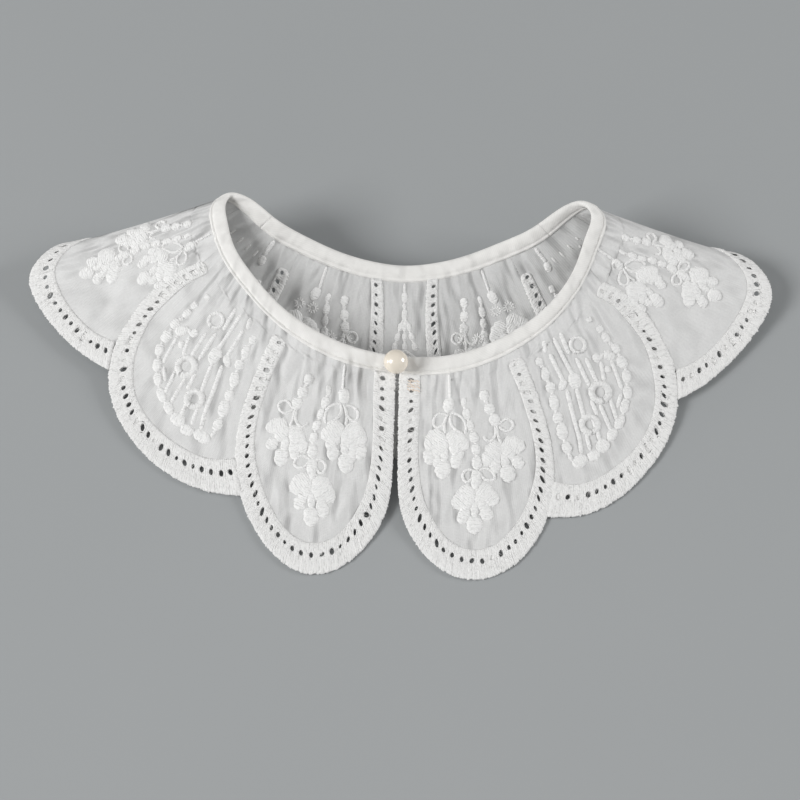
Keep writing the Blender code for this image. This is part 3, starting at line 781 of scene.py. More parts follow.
class Band:
    """A stitched edge band along the rows of a table, on rungs from its outer to its inner line.

    tucked says of each end whether it runs on under its neighbour or is a round free end.
    """

    def __init__(self, rows, seed, tucked):
        self.chance = np.random.RandomState(seed)
        self.tucked = tucked
        last = len(rows) - 1
        outer = [row[0:2] for row in rows]
        inner = [row[2:4] for row in rows]
        middle = (trace(outer, 0, last, 400) * (1.0 - HOLE_MIDDLE)
                  + trace(inner, 0, last, 400) * HOLE_MIDDLE)
        length = run_length(middle)[-1]
        self.cells = max(4, int(round(length / PITCH)))
        self.count = self.cells * STEPS + 1
        self.step = length / (self.count - 1.0)
        self.tops = trace(outer, 0, last, self.count)
        self.feet = trace(inner, 0, last, self.count)
        self.width = np.linalg.norm(cloth(self.tops[:, 0], self.tops[:, 1])
                                    - cloth(self.feet[:, 0], self.feet[:, 1]), axis=1)
        for line in (self.tops, self.feet):
            if tucked[0]:
                line[0] += (line[0] - line[1]) * END_STEPS
            if tucked[1]:
                line[-1] += (line[-1] - line[-2]) * END_STEPS
        to_and_fro = 2.0 * (np.arange(self.count) % 2) - 1.0
        self.tooth = TEETH[0] * to_and_fro + self.chance.normal(0.0, TEETH[1], self.count)
        self.streak = STREAKS[0] * to_and_fro + self.chance.normal(0.0, STREAKS[1], self.count)
        self.points = []
        self.lifts = []
        self.uvs = []
        self.faces = []
        self.walls = []

    def fullness(self, at):
        """Share of height and width at a rung number, less near a free end."""
        last = self.count - 1.0
        spaces = [place * self.step for place, hidden in
                  ((at, self.tucked[0]), (last - at, self.tucked[1])) if not hidden]
        if not spaces or min(spaces) >= END_ROUND:
            return 1.0
        bow = math.sqrt(max(0.0, 1.0 - (1.0 - min(spaces) / END_ROUND) ** 2))
        return FLAT_END + (1.0 - FLAT_END) * bow

    def add(self, at, share, lower=0.0):
        """One more point at a fractional rung number and a share of the width. Its number."""
        k = min(int(at), self.count - 2)
        part = at - k
        top, foot, wide, lean, rise = (
            row[k] * (1.0 - part) + row[k + 1] * part
            for row in (self.tops, self.feet, self.width, self.tooth, self.streak))
        full = self.fullness(at)
        edge = lean / wide * max(0.0, 1.0 - share / 0.12)
        across = 0.5 + (share + edge - 0.5) * full
        if share <= 0.02 or share >= 0.95:
            rise = 0.4 * rise
        self.points.append(top * (1.0 - across) + foot * across)
        self.lifts.append((np.interp(share, PROFILE[:, 0], PROFILE[:, 1]) + rise) * full - lower)
        self.uvs.append((at * self.step / 10.0, share * wide / 10.0))
        return len(self.points) - 1

    def lines(self, shares):
        """A strip of the band along every rung. The number of its first point."""
        start = len(self.points)
        for k in range(self.count):
            for share in shares:
                self.add(float(k), share)
        self.faces += grid_faces(self.count, len(shares), start)
        return start

    def eyelet(self, cell, field, shut_above, shut_below):
        """Rings from the edge of its field to a worked hole, or to a dimple where thread fills it."""
        chance = self.chance
        first = cell * STEPS
        at_middle = first + 0.5 * STEPS + chance.normal(0.0, HOLE_WANDER[0])
        share_middle = HOLE_MIDDLE + chance.normal(0.0, HOLE_WANDER[1])
        wide = self.width[int(first + STEPS / 2)]
        size = chance.uniform(*HOLE_SIZES)
        high_up = self.points[field[0]][1] < FILLED_TO
        shut = chance.uniform() < (shut_above if high_up else shut_below)
        long_half = HOLE_LONG * size
        deep_half = min(HOLE_DEEPEST, HOLE_DEEP * wide) * size * chance.uniform(*HOLE_SQUASH)
        turn = chance.normal(0.0, HOLE_TURN)
        half = 0.5 * STEPS
        along = [float(s) - half for s in range(STEPS + 1)]
        down = [share - HOLE_MIDDLE for share in HOLE_LINES[1:-1]]
        where = [(x, -HOLE_FIELD) for x in along] + [(half, y) for y in down]
        where += [(x, HOLE_FIELD) for x in along[::-1]] + [(-half, y) for y in down[::-1]]
        chain = [field]
        for grow, lower in SHUT_RINGS if shut else OPEN_RINGS:
            ring = []
            for x, y in where:
                angle = math.atan2(y * wide, x * self.step)
                hx = long_half * grow * math.cos(angle)
                hy = deep_half * grow * math.sin(angle)
                px = hx * math.cos(turn) - hy * math.sin(turn)
                py = hx * math.sin(turn) + hy * math.cos(turn)
                limit = 1.0
                if grow > WIDE_RING:
                    limit = min(1.0, FIELD_LONG * PITCH / max(abs(px), 1e-6),
                                FIELD_DEEP * wide / max(abs(py), 1e-6))
                at = at_middle + px * limit / self.step
                share = share_middle + py * limit / wide
                ring.append(self.add(min(max(at, 0.0), self.count - 1.0), share, lower))
            chain.append(ring)
        round_field = len(field)
        for one, two in zip(chain[:-1], chain[1:]):
            for k in range(round_field):
                j = (k + 1) % round_field
                self.faces.append((one[j], one[k], two[k], two[j]))
        hole = chain[-1]
        if shut:
            self.faces.append(tuple(hole))
            return
        self.walls.append(hole)
        if chance.uniform() < BARRED_HOLES:
            a = chance.randint(0, round_field)
            b = a + round_field // 2
            self.faces.append((hole[a], hole[(a + 1) % round_field],
                               hole[b % round_field], hole[(b - 1) % round_field]))

    def finish(self, name, outer_rim, inner_rim, first_end, last_end):
        """One closed piece: both faces of the cloth, the walls of the holes and the rim."""
        place = np.array(self.points)
        lift = np.array(self.lifts)
        top = surface(place[:, 0], place[:, 1], lift)
        under = surface(place[:, 0], place[:, 1], -lift)
        size = len(place)
        faces = self.faces + [tuple(i + size for i in f[::-1]) for f in self.faces]
        holes = [ring + ring[:1] for ring in self.walls]
        rims = [(outer_rim, False), (inner_rim, True)] + [(ring, False) for ring in holes]
        for line, turned in rims + [(first_end, True), (last_end, False)]:
            for one, two in zip(line[:-1], line[1:]):
                quad = (one, two, two + size, one + size)
                faces.append(quad[::-1] if turned else quad)
        return piece(name, np.vstack([top, under]), faces, np.vstack([self.uvs, self.uvs]),
                     STITCH_LOOK)


def border(name, rows, seed, tucked, shut_above, shut_below):
    """A stitched edge with a row of cut eyelets, domed satin and a toothed edge.

    shut_above and shut_below are the shares of eyelets filled by thread, near the neck and the hem.
    """
    band = Band(rows, seed, tucked)
    wide_outer, wide_inner = len(OUTER_LINES), len(INNER_LINES)
    outer = band.lines(OUTER_LINES)
    inner = band.lines(INNER_LINES)
    posts = [[band.add(float(c * STEPS), share) for share in HOLE_LINES[1:-1]]
             for c in range(band.cells + 1)]
    for cell in range(band.cells):
        rungs = range(cell * STEPS, cell * STEPS + STEPS + 1)
        upper = [outer + k * wide_outer + wide_outer - 1 for k in rungs]
        lower = [inner + k * wide_inner for k in rungs]
        field = upper + posts[cell + 1] + lower[::-1] + posts[cell][::-1]
        band.eyelet(cell, field, shut_above, shut_below)
    ends = []
    for k, post in ((0, posts[0]), (band.count - 1, posts[-1])):
        ends.append([outer + k * wide_outer + j for j in range(wide_outer)] + post
                    + [inner + k * wide_inner + j for j in range(wide_inner)])
    return band.finish(name, [outer + k * wide_outer for k in range(band.count)],
                       [inner + k * wide_inner + wide_inner - 1 for k in range(band.count)], *ends)


# Embroidery of the front, shoulder and back petals, places from the petal's middle line:
# kind, from loop, from reach, to loop, to reach, width
CLUSTER_STITCHES = (
    ("leaf", -6.4, 10.0, -7.2, 16.4, 3.6),
    ("leaf", -9.2, 23.6, -16.6, 30.4, 6.4),
    ("leaf", -8.0, 25.6, -13.4, 34.0, 5.6),
    ("leaf", -7.6, 24.6, 0.2, 32.6, 6.2),
    ("leaf", -6.0, 28.6, -2.4, 36.0, 4.2),
    ("bead", -15.8, 30.6, -14.2, 36.6, 4.2),
    ("bead", -8.6, 30.4, -9.4, 36.0, 3.4),
    ("bead", -4.4, 33.6, -5.0, 39.4, 4.4),
    ("bead", -11.6, 33.4, -12.0, 38.0, 3.6),
    ("leaf", -9.4, 35.4, -10.2, 43.4, 5.2),
    ("bead", -0.4, 11.0, -0.8, 14.6, 2.0),
    ("bead", 0.0, 15.6, 0.4, 20.2, 3.0),
    ("bead", 0.8, 20.8, 1.6, 25.0, 2.8),
    ("bead", 2.0, 25.8, 2.6, 30.4, 3.3),
    ("bead", 2.6, 31.0, 2.8, 35.4, 3.4),
    ("bead", 2.8, 36.0, 2.6, 41.2, 3.8),
    ("leaf", 2.4, 41.4, 1.4, 49.6, 3.6),
    ("bead", 7.6, 10.0, 7.4, 14.0, 3.4),
    ("bead", 8.8, 15.8, 9.2, 20.2, 3.8),
    ("bead", 10.2, 20.8, 10.8, 25.8, 4.0),
    ("leaf", 11.2, 32.6, 4.8, 40.6, 5.6),
    ("leaf", 12.6, 32.8, 19.8, 39.6, 5.8),
    ("leaf", 12.0, 33.4, 15.6, 41.8, 4.6),
    ("bead", 9.6, 37.2, 8.4, 44.4, 4.4),
    ("bead", 12.2, 37.8, 12.2, 43.6, 3.4),
    ("bead", 15.6, 40.6, 17.2, 46.2, 4.6),
    ("leaf", 12.8, 43.0, 12.6, 50.4, 5.2),
    ("leaf", 0.6, 48.0, -6.6, 55.8, 6.2),
    ("leaf", 1.0, 50.4, -3.6, 58.0, 4.0),
    ("leaf", 2.2, 48.4, 8.4, 57.6, 6.8),
    ("leaf", 2.0, 51.0, 4.6, 59.6, 4.4),
    ("bead", 1.0, 53.6, 0.6, 60.2, 3.0),
    ("bead", -2.0, 56.4, -4.2, 62.0, 4.6),
    ("bead", 3.8, 57.0, 5.0, 62.8, 4.8),
    ("leaf", 0.4, 60.0, 0.2, 67.8, 5.2),
)
CLUSTER_CORDS = (
    ((-6.0, 0.4), (-6.0, 5.2), (-6.0, 10.4)),
    ((-7.6, 16.8), (-10.4, 16.0), (-12.8, 18.2), (-12.0, 21.4), (-9.4, 21.0), (-7.8, 17.6)),
    ((-6.8, 16.4), (-8.4, 19.6), (-8.4, 24.4)),
    ((-5.8, 16.2), (-2.0, 18.6), (-0.4, 24.4), (-1.0, 26.0)),
    ((-5.8, 16.8), (-6.2, 20.0), (-3.4, 24.4), (-1.4, 26.0)),
    ((7.2, 13.6), (8.4, 15.6), (8.8, 16.8)),
    ((9.2, 19.6), (10.0, 20.8), (10.4, 21.2)),
    ((10.2, 25.8), (10.0, 29.6), (7.4, 31.0), (5.6, 28.4)),
    ((11.6, 26.0), (15.0, 24.8), (16.8, 27.4), (14.8, 29.6), (11.6, 26.4)),
    ((11.0, 26.0), (11.0, 30.0), (11.8, 33.4)),
    ((2.0, 42.2), (-0.8, 40.8), (-2.6, 42.8), (-1.4, 45.6), (1.4, 43.4)),
    ((3.2, 42.0), (6.4, 42.2), (8.2, 46.6), (5.0, 46.0), (3.2, 42.4)),
)


def drawn_out(path):
    """A straight cord a tenth longer at each end; any other path as it is."""
    if len(path) != 2:
        return path
    (a, b), (c, d) = path
    if d - b < 5.0:
        return path
    return ((a - 0.1 * (c - a), b - 0.1 * (d - b)), (c + 0.1 * (c - a), d + 0.1 * (d - b)))


# Embroidery of the side and rear petals, same columns
CORD_STITCHES = (
    ("bead", -14.6, 8.4, -15.0, 11.6, 2.9),
    ("bead", -13.4, 13.6, -14.2, 18.8, 3.1),
    ("bead", -13.0, 20.4, -13.4, 24.4, 3.7),
    ("bead", -13.0, 26.0, -13.8, 32.0, 3.8),
    ("bead", -13.4, 33.6, -13.8, 38.0, 3.8),
    ("bead", -13.0, 38.8, -13.8, 45.2, 4.3),
    ("bead", -13.4, 46.8, -13.4, 52.0, 3.8),
    ("bead", -13.0, 57.6, -8.6, 59.2, 4.6),
    ("bead", -8.2, 60.0, -5.0, 62.0, 4.2),
    ("bead", -5.0, 60.0, -1.4, 60.8, 4.9),
    ("bead", -1.0, 60.8, 1.8, 58.8, 3.7),
    ("bead", 2.2, 59.2, 5.4, 56.8, 3.5),
    ("bead", 5.8, 56.0, 8.2, 52.8, 3.7),
    ("bead", 8.6, 52.8, 10.2, 48.4, 3.8),
    ("bead", 10.6, 47.2, 12.2, 43.2, 4.0),
    ("bead", 12.2, 41.6, 12.6, 36.0, 4.6),
    ("bead", 13.0, 34.4, 13.0, 29.6, 3.7),
    ("block", 12.2, 27.2, 12.2, 22.4, 2.8),
    ("block", 12.2, 21.6, 11.8, 18.0, 2.7),
    ("block", 10.2, 14.0, 10.2, 11.6, 2.2),
    ("leaf", -7.4, 24.0, -10.2, 26.8, 2.6),
    ("leaf", -4.2, 24.0, -4.2, 32.0, 4.3),
    ("bead", 6.6, 26.4, 5.4, 29.2, 3.3),
    ("bead", 8.6, 28.8, 11.4, 34.0, 3.9),
    ("bead", 7.8, 34.4, 7.0, 37.2, 2.8),
)
CORD_CORDS = (
    ((-11.0, 3.6), (-11.4, 8.4)),
    ((-9.8, 11.2), (-8.2, 22.8)),
    ((-6.2, 7.2), (-4.2, 24.0)),
    ((-3.0, 6.8), (-2.6, 16.0)),
    ((-0.6, 21.6), (-0.2, 33.6)),
    ((2.6, 24.8), (2.6, 35.2)),
    ((6.6, 31.2), (5.0, 38.0)),
    ((9.8, 35.2), (8.6, 46.8)),
    ((-7.8, 28.4), (-8.6, 41.2), (-9.0, 50.8), (-9.8, 56.4)),
    ((-4.6, 32.0), (-5.4, 43.6)),
    ((-1.4, 40.8), (-1.4, 47.2)),
    ((0.6, 46.0), (0.6, 56.4)),
    ((4.2, 46.4), (3.4, 55.6)),
    ((7.8, 48.8), (5.0, 52.4)),
    ((-6.6, 51.2), (-7.0, 57.2)),
    ((-3.0, 47.6), (-3.4, 57.2)),
    ((-13.4, 52.0), (-13.0, 56.0)),
    ((-14.6, 12.0), (-14.2, 13.2)),
    ((-13.8, 19.2), (-13.4, 20.4)),
)
CORD_CORDS = tuple(drawn_out(path) for path in CORD_CORDS)
# Rings: loop, reach, outer radius, hole radius
CORD_RINGS = ((1.8, 16.4, 3.9, 2.3), (2.2, 40.8, 5.1, 2.2), (-4.6, 48.4, 4.6, 1.9))

# The rear petal starts with a row of short bars beside a stem
BAR_STITCHES = tuple(
    ("bead", 5.6 * k - 16.4, 8.0, 5.6 * k - 16.8, 11.4, 1.1) for k in range(4)
) + (("leaf", 5.4, 8.2, 6.6, 12.8, 3.6),) + tuple(row for row in CORD_STITCHES if row[2] > 15.0)
BAR_CORDS = (((5.2, 0.4), (5.0, 8.4)),) + CORD_CORDS[4:]
# Star eyelets of the back petal: loop, reach
STARS = ((-11.9, 19.2), (-5.9, 19.2), (5.6, 29.2), (12.1, 28.0))

# The narrow centre back petal has one beaded line that splits in three
CENTRE_STITCHES = tuple(
    ("bead", 0.0, 4.2 + 7.6 * k, 0.0, 8.8 + 7.6 * k, 2.4) for k in range(2)
) + tuple(
    ("bead", side * (1.2 + 0.9 * k), 18.0 + 4.4 * k, side * (1.8 + 0.9 * k), 21.4 + 4.4 * k, 2.2)
    for side in (-1.0, 0.0, 1.0) for k in range(3)
) + (
    ("leaf", -0.6, 33.0, -3.6, 40.0, 3.4),
    ("leaf", 0.6, 33.0, 3.6, 40.0, 3.4),
    ("leaf", 0.0, 34.0, 0.0, 43.0, 3.8),
    ("block", -2.4, 44.0, -2.8, 48.0, 3.6),
    ("block", 2.4, 44.0, 2.8, 48.0, 3.6),
    ("leaf", 0.0, 49.0, 0.0, 56.0, 4.4),
)
CENTRE_CORDS = (
    ((0.0, 0.4), (0.0, 4.6)),
    ((0.0, 8.4), (0.0, 12.4)),
    ((0.0, 16.0), (0.0, 18.4)),
    ((0.0, 15.8), (-1.4, 18.6)),
    ((0.0, 15.8), (1.4, 18.6)),
    ((0.0, 30.0), (-4.5, 36.0), (-4.8, 42.0)),
    ((0.0, 30.0), (4.5, 36.0), (4.8, 42.0)),
)

# Height of each kind of stitch, times the usual, and how its threads lean
PLUMP = {"leaf": 1.1, "bead": 0.95, "block": 1.0}
SLANT = {"leaf": -0.3, "bead": 0.0, "block": 0.2}
BEAD_LONG = 1.12          # a bead's length and width, times those in the table
BEAD_SLIM = 0.90
ROUND_OFF = {"leaf": 2.3, "bead": 2.4, "block": 5.0}   # how blunt its ends are
SATIN_GRID = (13, 9)      # mesh rows and columns of a padded stitch
SATIN_RISE = (0.22, 0.16)  # its height: least, and share of its width
SATIN_HIGHEST = 0.90
SATIN_RAGGED = 0.075
SATIN_RIDGE = 0.04
SINK = 0.02               # how far every stitch starts inside the lawn's face
LINK_WIDE = 2.0           # the link between stitches that follow each other
STITCH_SPREAD = 1.22      # width of every padded stitch, times its width in the table
CORD_WIDE = 1.2
THICK_CORD = 1.8          # cords of the side and rear petals
CORD_HIGH = 0.66
CORD_STEP = 0.8           # mesh step along a cord
LINK_LEAST = 0.4          # stitches that follow each other at a gap between these are linked
LINK_REACH = 3.4
RING_RISE = 0.34          # a ring's height: share of its width, and least
RING_LEAST = 0.25
STAR_HOLE = 0.9
STAR_REACH = 2.7
STAR_RAYS = 11


class Stitching:
    """Raised stitches of one petal, gathered before they become one mesh."""

    def __init__(self, middle, stretch, turned, reach_stretch, reach_shift):
        self.middle = middle
        self.stretch = stretch
        self.turned = turned
        self.reach_stretch = reach_stretch
        self.reach_shift = reach_shift
        self.places = []
        self.lifts = []
        self.uvs = []
        self.faces = []
        self.count = 0

    def at(self, loop, reach):
        """A place of the table on this petal."""
        side = -1.0 if self.turned else 1.0
        return np.array([self.middle + side * self.stretch * loop,
                         self.reach_shift + self.reach_stretch * reach])

    def grid(self, places, lifts, uvs, rows, columns, closed=False):
        """Adds a grid of points on the embroidered face."""
        self.places.append(places)
        self.lifts.append(lifts)
        self.uvs.append(uvs)
        self.faces += grid_faces(rows, columns, self.count, closed=closed)
        self.count += len(places)

    def frame_at(self, place):
        """Two true directions on the cloth at a place: down the reach, and across it."""
        spot = place[None, :]
        down = cloth(spot[:, 0], spot[:, 1] + 0.5) - cloth(spot[:, 0], spot[:, 1] - 0.5)
        down = down[0] / np.linalg.norm(down[0])
        face = outward(spot[:, 0], spot[:, 1])[0]
        across = np.cross(face, down)
        return down, across

    def solid(self, kind, first, second, width, seed):
        """A padded satin shape between two places: a leaf, a bead or a squared block."""
        chance = np.random.RandomState(seed)
        start = cloth(first[0], first[1])[0]
        end = cloth(second[0], second[1])[0]
        long = np.linalg.norm(end - start)
        axis = (end - start) / max(long, 1e-6)
        if kind == "bead":
            long = BEAD_LONG * long
            width = BEAD_SLIM * width
        middle = 0.5 * (first + second)
        face = outward(middle[0], middle[1])[0]
        side = np.cross(face, axis)
        side = side / np.linalg.norm(side)
        rows, columns = SATIN_GRID
        high = min(SATIN_HIGHEST, SATIN_RISE[1] * width + SATIN_RISE[0]) * PLUMP[kind]
        along = np.linspace(-1.0, 1.0, rows)
        around = np.linspace(-1.0, 1.0, columns)
        a, b = np.meshgrid(along, around, indexing="ij")
        shape = np.clip(1.0 - np.abs(a) ** ROUND_OFF[kind], 0.0, 1.0)
        shape = shape ** (0.4 if kind == "block" else 0.5)
        if kind == "leaf":
            shape = shape * (1.0 - 0.12 * a)
        one_side = chance.normal(0.0, SATIN_RAGGED, (rows, 1))
        other_side = chance.normal(0.0, SATIN_RAGGED, (rows, 1))
        ragged = 1.0 + np.where(b > 0.0, one_side, other_side)
        x = a * 0.5 * long + 0.12 * width * (b ** 2) * SLANT[kind]
        y = b * 0.5 * width * shape * ragged
        dome = np.sqrt(np.clip(1.0 - np.abs(b) ** 2.6, 0.0, 1.0))
        ridge = SATIN_RIDGE * np.where(np.arange(rows) % 2 == 0, 1.0, -1.0)[:, None]
        lift = high * dome * np.clip(shape, 0.0, 1.0) ** 0.7 * (1.0 + ridge) - SINK
        move = x.ravel()[:, None] * axis[None, :] + y.ravel()[:, None] * side[None, :]
        place = moved(np.repeat(middle[None, :], rows * columns, axis=0), move)
        uv = np.column_stack([x.ravel(), y.ravel()]) / 10.0
        self.grid(place, lift.ravel(), uv, rows, columns)

    def cord(self, path, width, high):
        """A thin raised line of stem stitch along a path of places."""
        path = np.asarray(path, float)
        length = run_length(path)
        steps = max(4, int(length[-1] / CORD_STEP))
        at = np.linspace(0.0, length[-1], steps + 1)
        line = smooth_line(length, path, bend(length, path), at)
        side = sideways(line)
        shares = np.array((-1.0, -0.6, 0.0, 0.6, 1.0))
        heights = np.array((0.0, 0.75, 1.0, 0.75, 0.0)) * high - SINK
        wave_along = 1.0 + 0.10 * np.where(np.arange(len(at)) % 2 == 0, 1.0, -1.0)
        taper = np.clip(np.minimum(at, length[-1] - at) / (0.8 * width) + 0.35, 0.0, 1.0)
        places = []
        lifts = []
        for share, height in zip(shares, heights):
            places.append(moved(line, side * (0.5 * width * share * wave_along * taper)[:, None]))
            lifts.append(height * wave_along * taper)
        place = np.stack(places, axis=1).reshape(-1, 2)
        lift = np.stack(lifts, axis=1).ravel()
        uv = np.column_stack([np.repeat(at, 5), np.tile(shares * 0.5 * width, len(at))]) / 10.0
        self.grid(place, lift, uv, len(at), 5)

    def ring(self, centre, outer, hole, high):
        """A padded ring of satin stitches round an open middle."""
        down, across = self.frame_at(centre)
        turns = 28
        angle = np.linspace(0.0, 2.0 * math.pi, turns, endpoint=False)
        half = 0.5 * (outer - hole)
        places = []
        lifts = []
        uvs = []
        wavy = 1.0 + 0.04 * np.where(np.arange(turns) % 2 == 0, 1.0, -1.0)
        for share, height in zip((-1.0, -0.65, 0.0, 0.65, 1.0), (0.0, 0.75, 1.0, 0.75, 0.0)):
            radius = (hole + half + half * share) * (wavy if share > 0.5 else 1.0)
            move = (radius * np.cos(angle))[:, None] * down + (radius * np.sin(angle))[:, None] * across
            places.append(moved(np.repeat(centre[None, :], turns, axis=0), move))
            lifts.append(np.full(turns, height * high - SINK) * wavy)
            uvs.append(np.column_stack([angle * outer, np.full(turns, share * half)]) / 10.0)
        self.grid(np.vstack(places), np.concatenate(lifts), np.vstack(uvs), 5, turns, True)

    def star(self, centre, seed):
        """A worked eyelet with short threads standing out all round."""
        chance = np.random.RandomState(seed)
        down, across = self.frame_at(centre)
        self.ring(centre, STAR_HOLE + 0.55, STAR_HOLE, 0.25)
        for k in range(STAR_RAYS):
            angle = 2.0 * math.pi * k / STAR_RAYS + chance.normal(0.0, 0.05)
            way = math.cos(angle) * down + math.sin(angle) * across
            far = STAR_REACH * chance.uniform(0.85, 1.1)
            ends = np.array([way * (STAR_HOLE + 0.3), way * far])
            self.cord(moved(np.repeat(centre[None, :], 2, axis=0), ends), 0.75, 0.28)

    def finish(self, name):
        """One piece with the stitches on both faces of the lawn."""
        place = np.vstack(self.places)
        lift = np.concatenate(self.lifts)
        uv = np.vstack(self.uvs)
        top = surface(place[:, 0], place[:, 1], lift + 0.5 * LAWN)
        low = surface(place[:, 0], place[:, 1], -0.8 * lift - 0.5 * LAWN)
        faces = self.faces + [tuple(k + self.count for k in f[::-1]) for f in self.faces]
        return piece(name, np.vstack([top, low]), faces, np.vstack([uv, uv]),
                     SATIN_LOOK)


def embroider(name, motif, middle, stretch, turned, reach_stretch=1.0, reach_shift=0.0, seed=1):
    """The stitches of one petal from its tables."""
    stitches, cords, rings, stars = motif
    work = Stitching(middle, stretch, turned, reach_stretch, reach_shift)
    narrow = 0.5 * (1.0 + stretch) * STITCH_SPREAD
    before = None
    for k, (kind, loop_a, reach_a, loop_b, reach_b, width) in enumerate(stitches):
        first = work.at(loop_a, reach_a)
        second = work.at(loop_b, reach_b)
        work.solid(kind, first, second, width * narrow, seed * 100 + k)
        if before is not None and LINK_LEAST < math.dist(before, first) < LINK_REACH:
            work.cord([before, first], LINK_WIDE, CORD_HIGH)
        before = second
    wide = THICK_CORD if motif in (CORDED, BARRED) else CORD_WIDE
    for path in cords:
        work.cord([work.at(*p) for p in path], wide, CORD_HIGH)
    for loop, reach in stars:
        work.star(work.at(loop, reach), seed)
    for loop, reach, outer, hole in rings:
        work.ring(work.at(loop, reach), outer, hole, RING_RISE * (outer - hole) + RING_LEAST)
    return work.finish(name)


# stitches, cords, rings, stars
CLUSTER = (CLUSTER_STITCHES, CLUSTER_CORDS, (), ())
CORDED = (CORD_STITCHES, CORD_CORDS, CORD_RINGS, ())
BARRED = (BAR_STITCHES, BAR_CORDS, CORD_RINGS[1:], ())
STARRED = (CLUSTER_STITCHES, CLUSTER_CORDS[0:1] + CLUSTER_CORDS[5:], (), STARS)
CENTRED = (CENTRE_STITCHES, CENTRE_CORDS, (), ())
# petal: motif, middle loop, sideways stretch, reach stretch, reach shift
MOTIFS = {
    "front": (CLUSTER, 28.0, 1.0, 1.0, 0.0),
    "side": (CORDED, 74.0, 1.0, 1.0, 0.0),
    "shoulder": (CLUSTER, 109.0, 0.72, 0.95, -1.0),
    "rear": (BARRED, 148.5, 0.52, 1.0, 0.0),
    "back": (STARRED, 179.5, 0.80, 1.0, 0.0),
    "centre": (CENTRED, 209.0, 1.0, 1.0, 0.0),
}
# How far a left motif sits from the mirrored place, along the loop
LEFT_MOVES = {"side": -1.2}
# How much further from the neck a left motif sits
LEFT_DROPS = {"side": 2.6}

for number, (name, rows, *_) in enumerate(PETALS):
    near, far = petal_edges(number)
    motif, at, stretch, reach_stretch, reach_shift = MOTIFS[name]
    downs, across = LAWN_GRID.get(name, (80, 56))
    if name == "centre":
        halves = [("", near, mirrored(near), rows, at, False, 1)]
        nodes = ("centre_back_petal", "centre_back_border")
    else:
        flipped = [(LOOP - a, b, LOOP - c, d) for a, b, c, d in rows]
        left_at = LOOP - at + LEFT_MOVES.get(name, 0.0)
        halves = [("_right", near, far, rows, at, False, 1),
                  ("_left", mirrored(near), mirrored(far), flipped, left_at, True, 2)]
    for side, one, two, band_rows, place, turned, salt in halves:
        label = f"{name}{side}"
        if name != "centre":
            nodes = (f"{name}_petal{side}", f"{name}_border{side}")
        # Rear, back and centre petals take the sheerer lawn copy: painted shade
        look = SHADED_LAWN_LOOK if name in ("rear", "back", "centre") else LAWN_LOOK
        lawn = lawn_panel(f"lawn_{label}", one, two, downs, across, look)
        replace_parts(lawn, nodes[0])
        edge = border(f"edge_{label}", band_rows, 10 * number + salt, *BORDERS[name])
        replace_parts(edge, nodes[1])
        drop = LEFT_DROPS.get(name, 0.0) if turned else 0.0
        work = embroider(f"embroidery_{label}", motif, place, stretch, turned,
                         reach_stretch, reach_shift + drop, 10 * number + salt)

# Neck binding: share of its width from the lower edge, height over the cloth.
# The slim flange at the lower edge lies outside the stitch line.
BIND_PROFILE = (
    (0.00, 0.42), (0.02, 0.60), (0.09, 0.70), (0.145, 0.66), (0.17, 0.40), (0.20, 0.38),
    (0.225, 0.70), (0.30, 1.04), (0.40, 1.20), (0.54, 1.28), (0.68, 1.25), (0.80, 1.12),
    (0.90, 0.86), (0.97, 0.42), (1.00, 0.0), (0.97, -0.42), (0.90, -0.86), (0.78, -1.12),
    (0.60, -1.25), (0.40, -1.15), (0.26, -0.82), (0.20, -0.45), (0.15, -0.62), (0.02, -0.55),
)
STITCH_SHARE = 0.185      # the stitch line's share of the binding's width
BIND_STEP = 0.9           # mesh step along the binding


def wander(seed, spread, width):
    """A soft random line round the whole loop, a value for every mesh step."""
    chance = np.random.RandomState(seed)
    window = np.hanning(width)
    raw = chance.normal(0.0, 1.0, int(LOOP / BIND_STEP) + width)
    return spread * np.convolve(raw, window / window.sum(), "valid")


PUCKERS = wander(5, 0.26, 7)
SWELLS = wander(6, 0.54, 41)


def binding(name, start, stop):
    """A folded bias strip, puckered along its stitch line, closed at both ends."""
    count = int((stop - start) / BIND_STEP) + 1
    along = np.linspace(start, stop, count)
    every = np.linspace(0.0, LOOP, len(PUCKERS))
    pucker = np.interp(along, every, PUCKERS)
    slow = np.interp(along, every, SWELLS)
    profile = np.array(BIND_PROFILE)
    columns = len(profile)
    loops = np.repeat(along, columns)
    shares = np.tile(profile[:, 0], count)
    heights = np.tile(profile[:, 1], count)
    upper = heights > 0.0
    puck = np.repeat(pucker, columns) * np.exp(-((shares - 0.3) / 0.2) ** 2) * upper
    swell = np.repeat(slow, columns) * np.sin(np.pi * np.clip(shares, 0.0, 1.0)) * 0.5
    edge_wander = np.repeat(slow, columns) * 0.25
    reach = -0.1 - BIND_WIDE * shares + edge_wander
    lift = heights + puck + swell * upper
    points = surface(loops, reach, lift)
    faces = grid_faces(count, columns, flip=True, closed=True)
    faces.append(tuple(range(columns)))
    faces.append(tuple((count - 1) * columns + j for j in range(columns - 1, -1, -1)))
    uv = np.column_stack([loops, shares * BIND_WIDE]) / 10.0
    return piece(name, points, faces, uv, BINDING_LOOK)


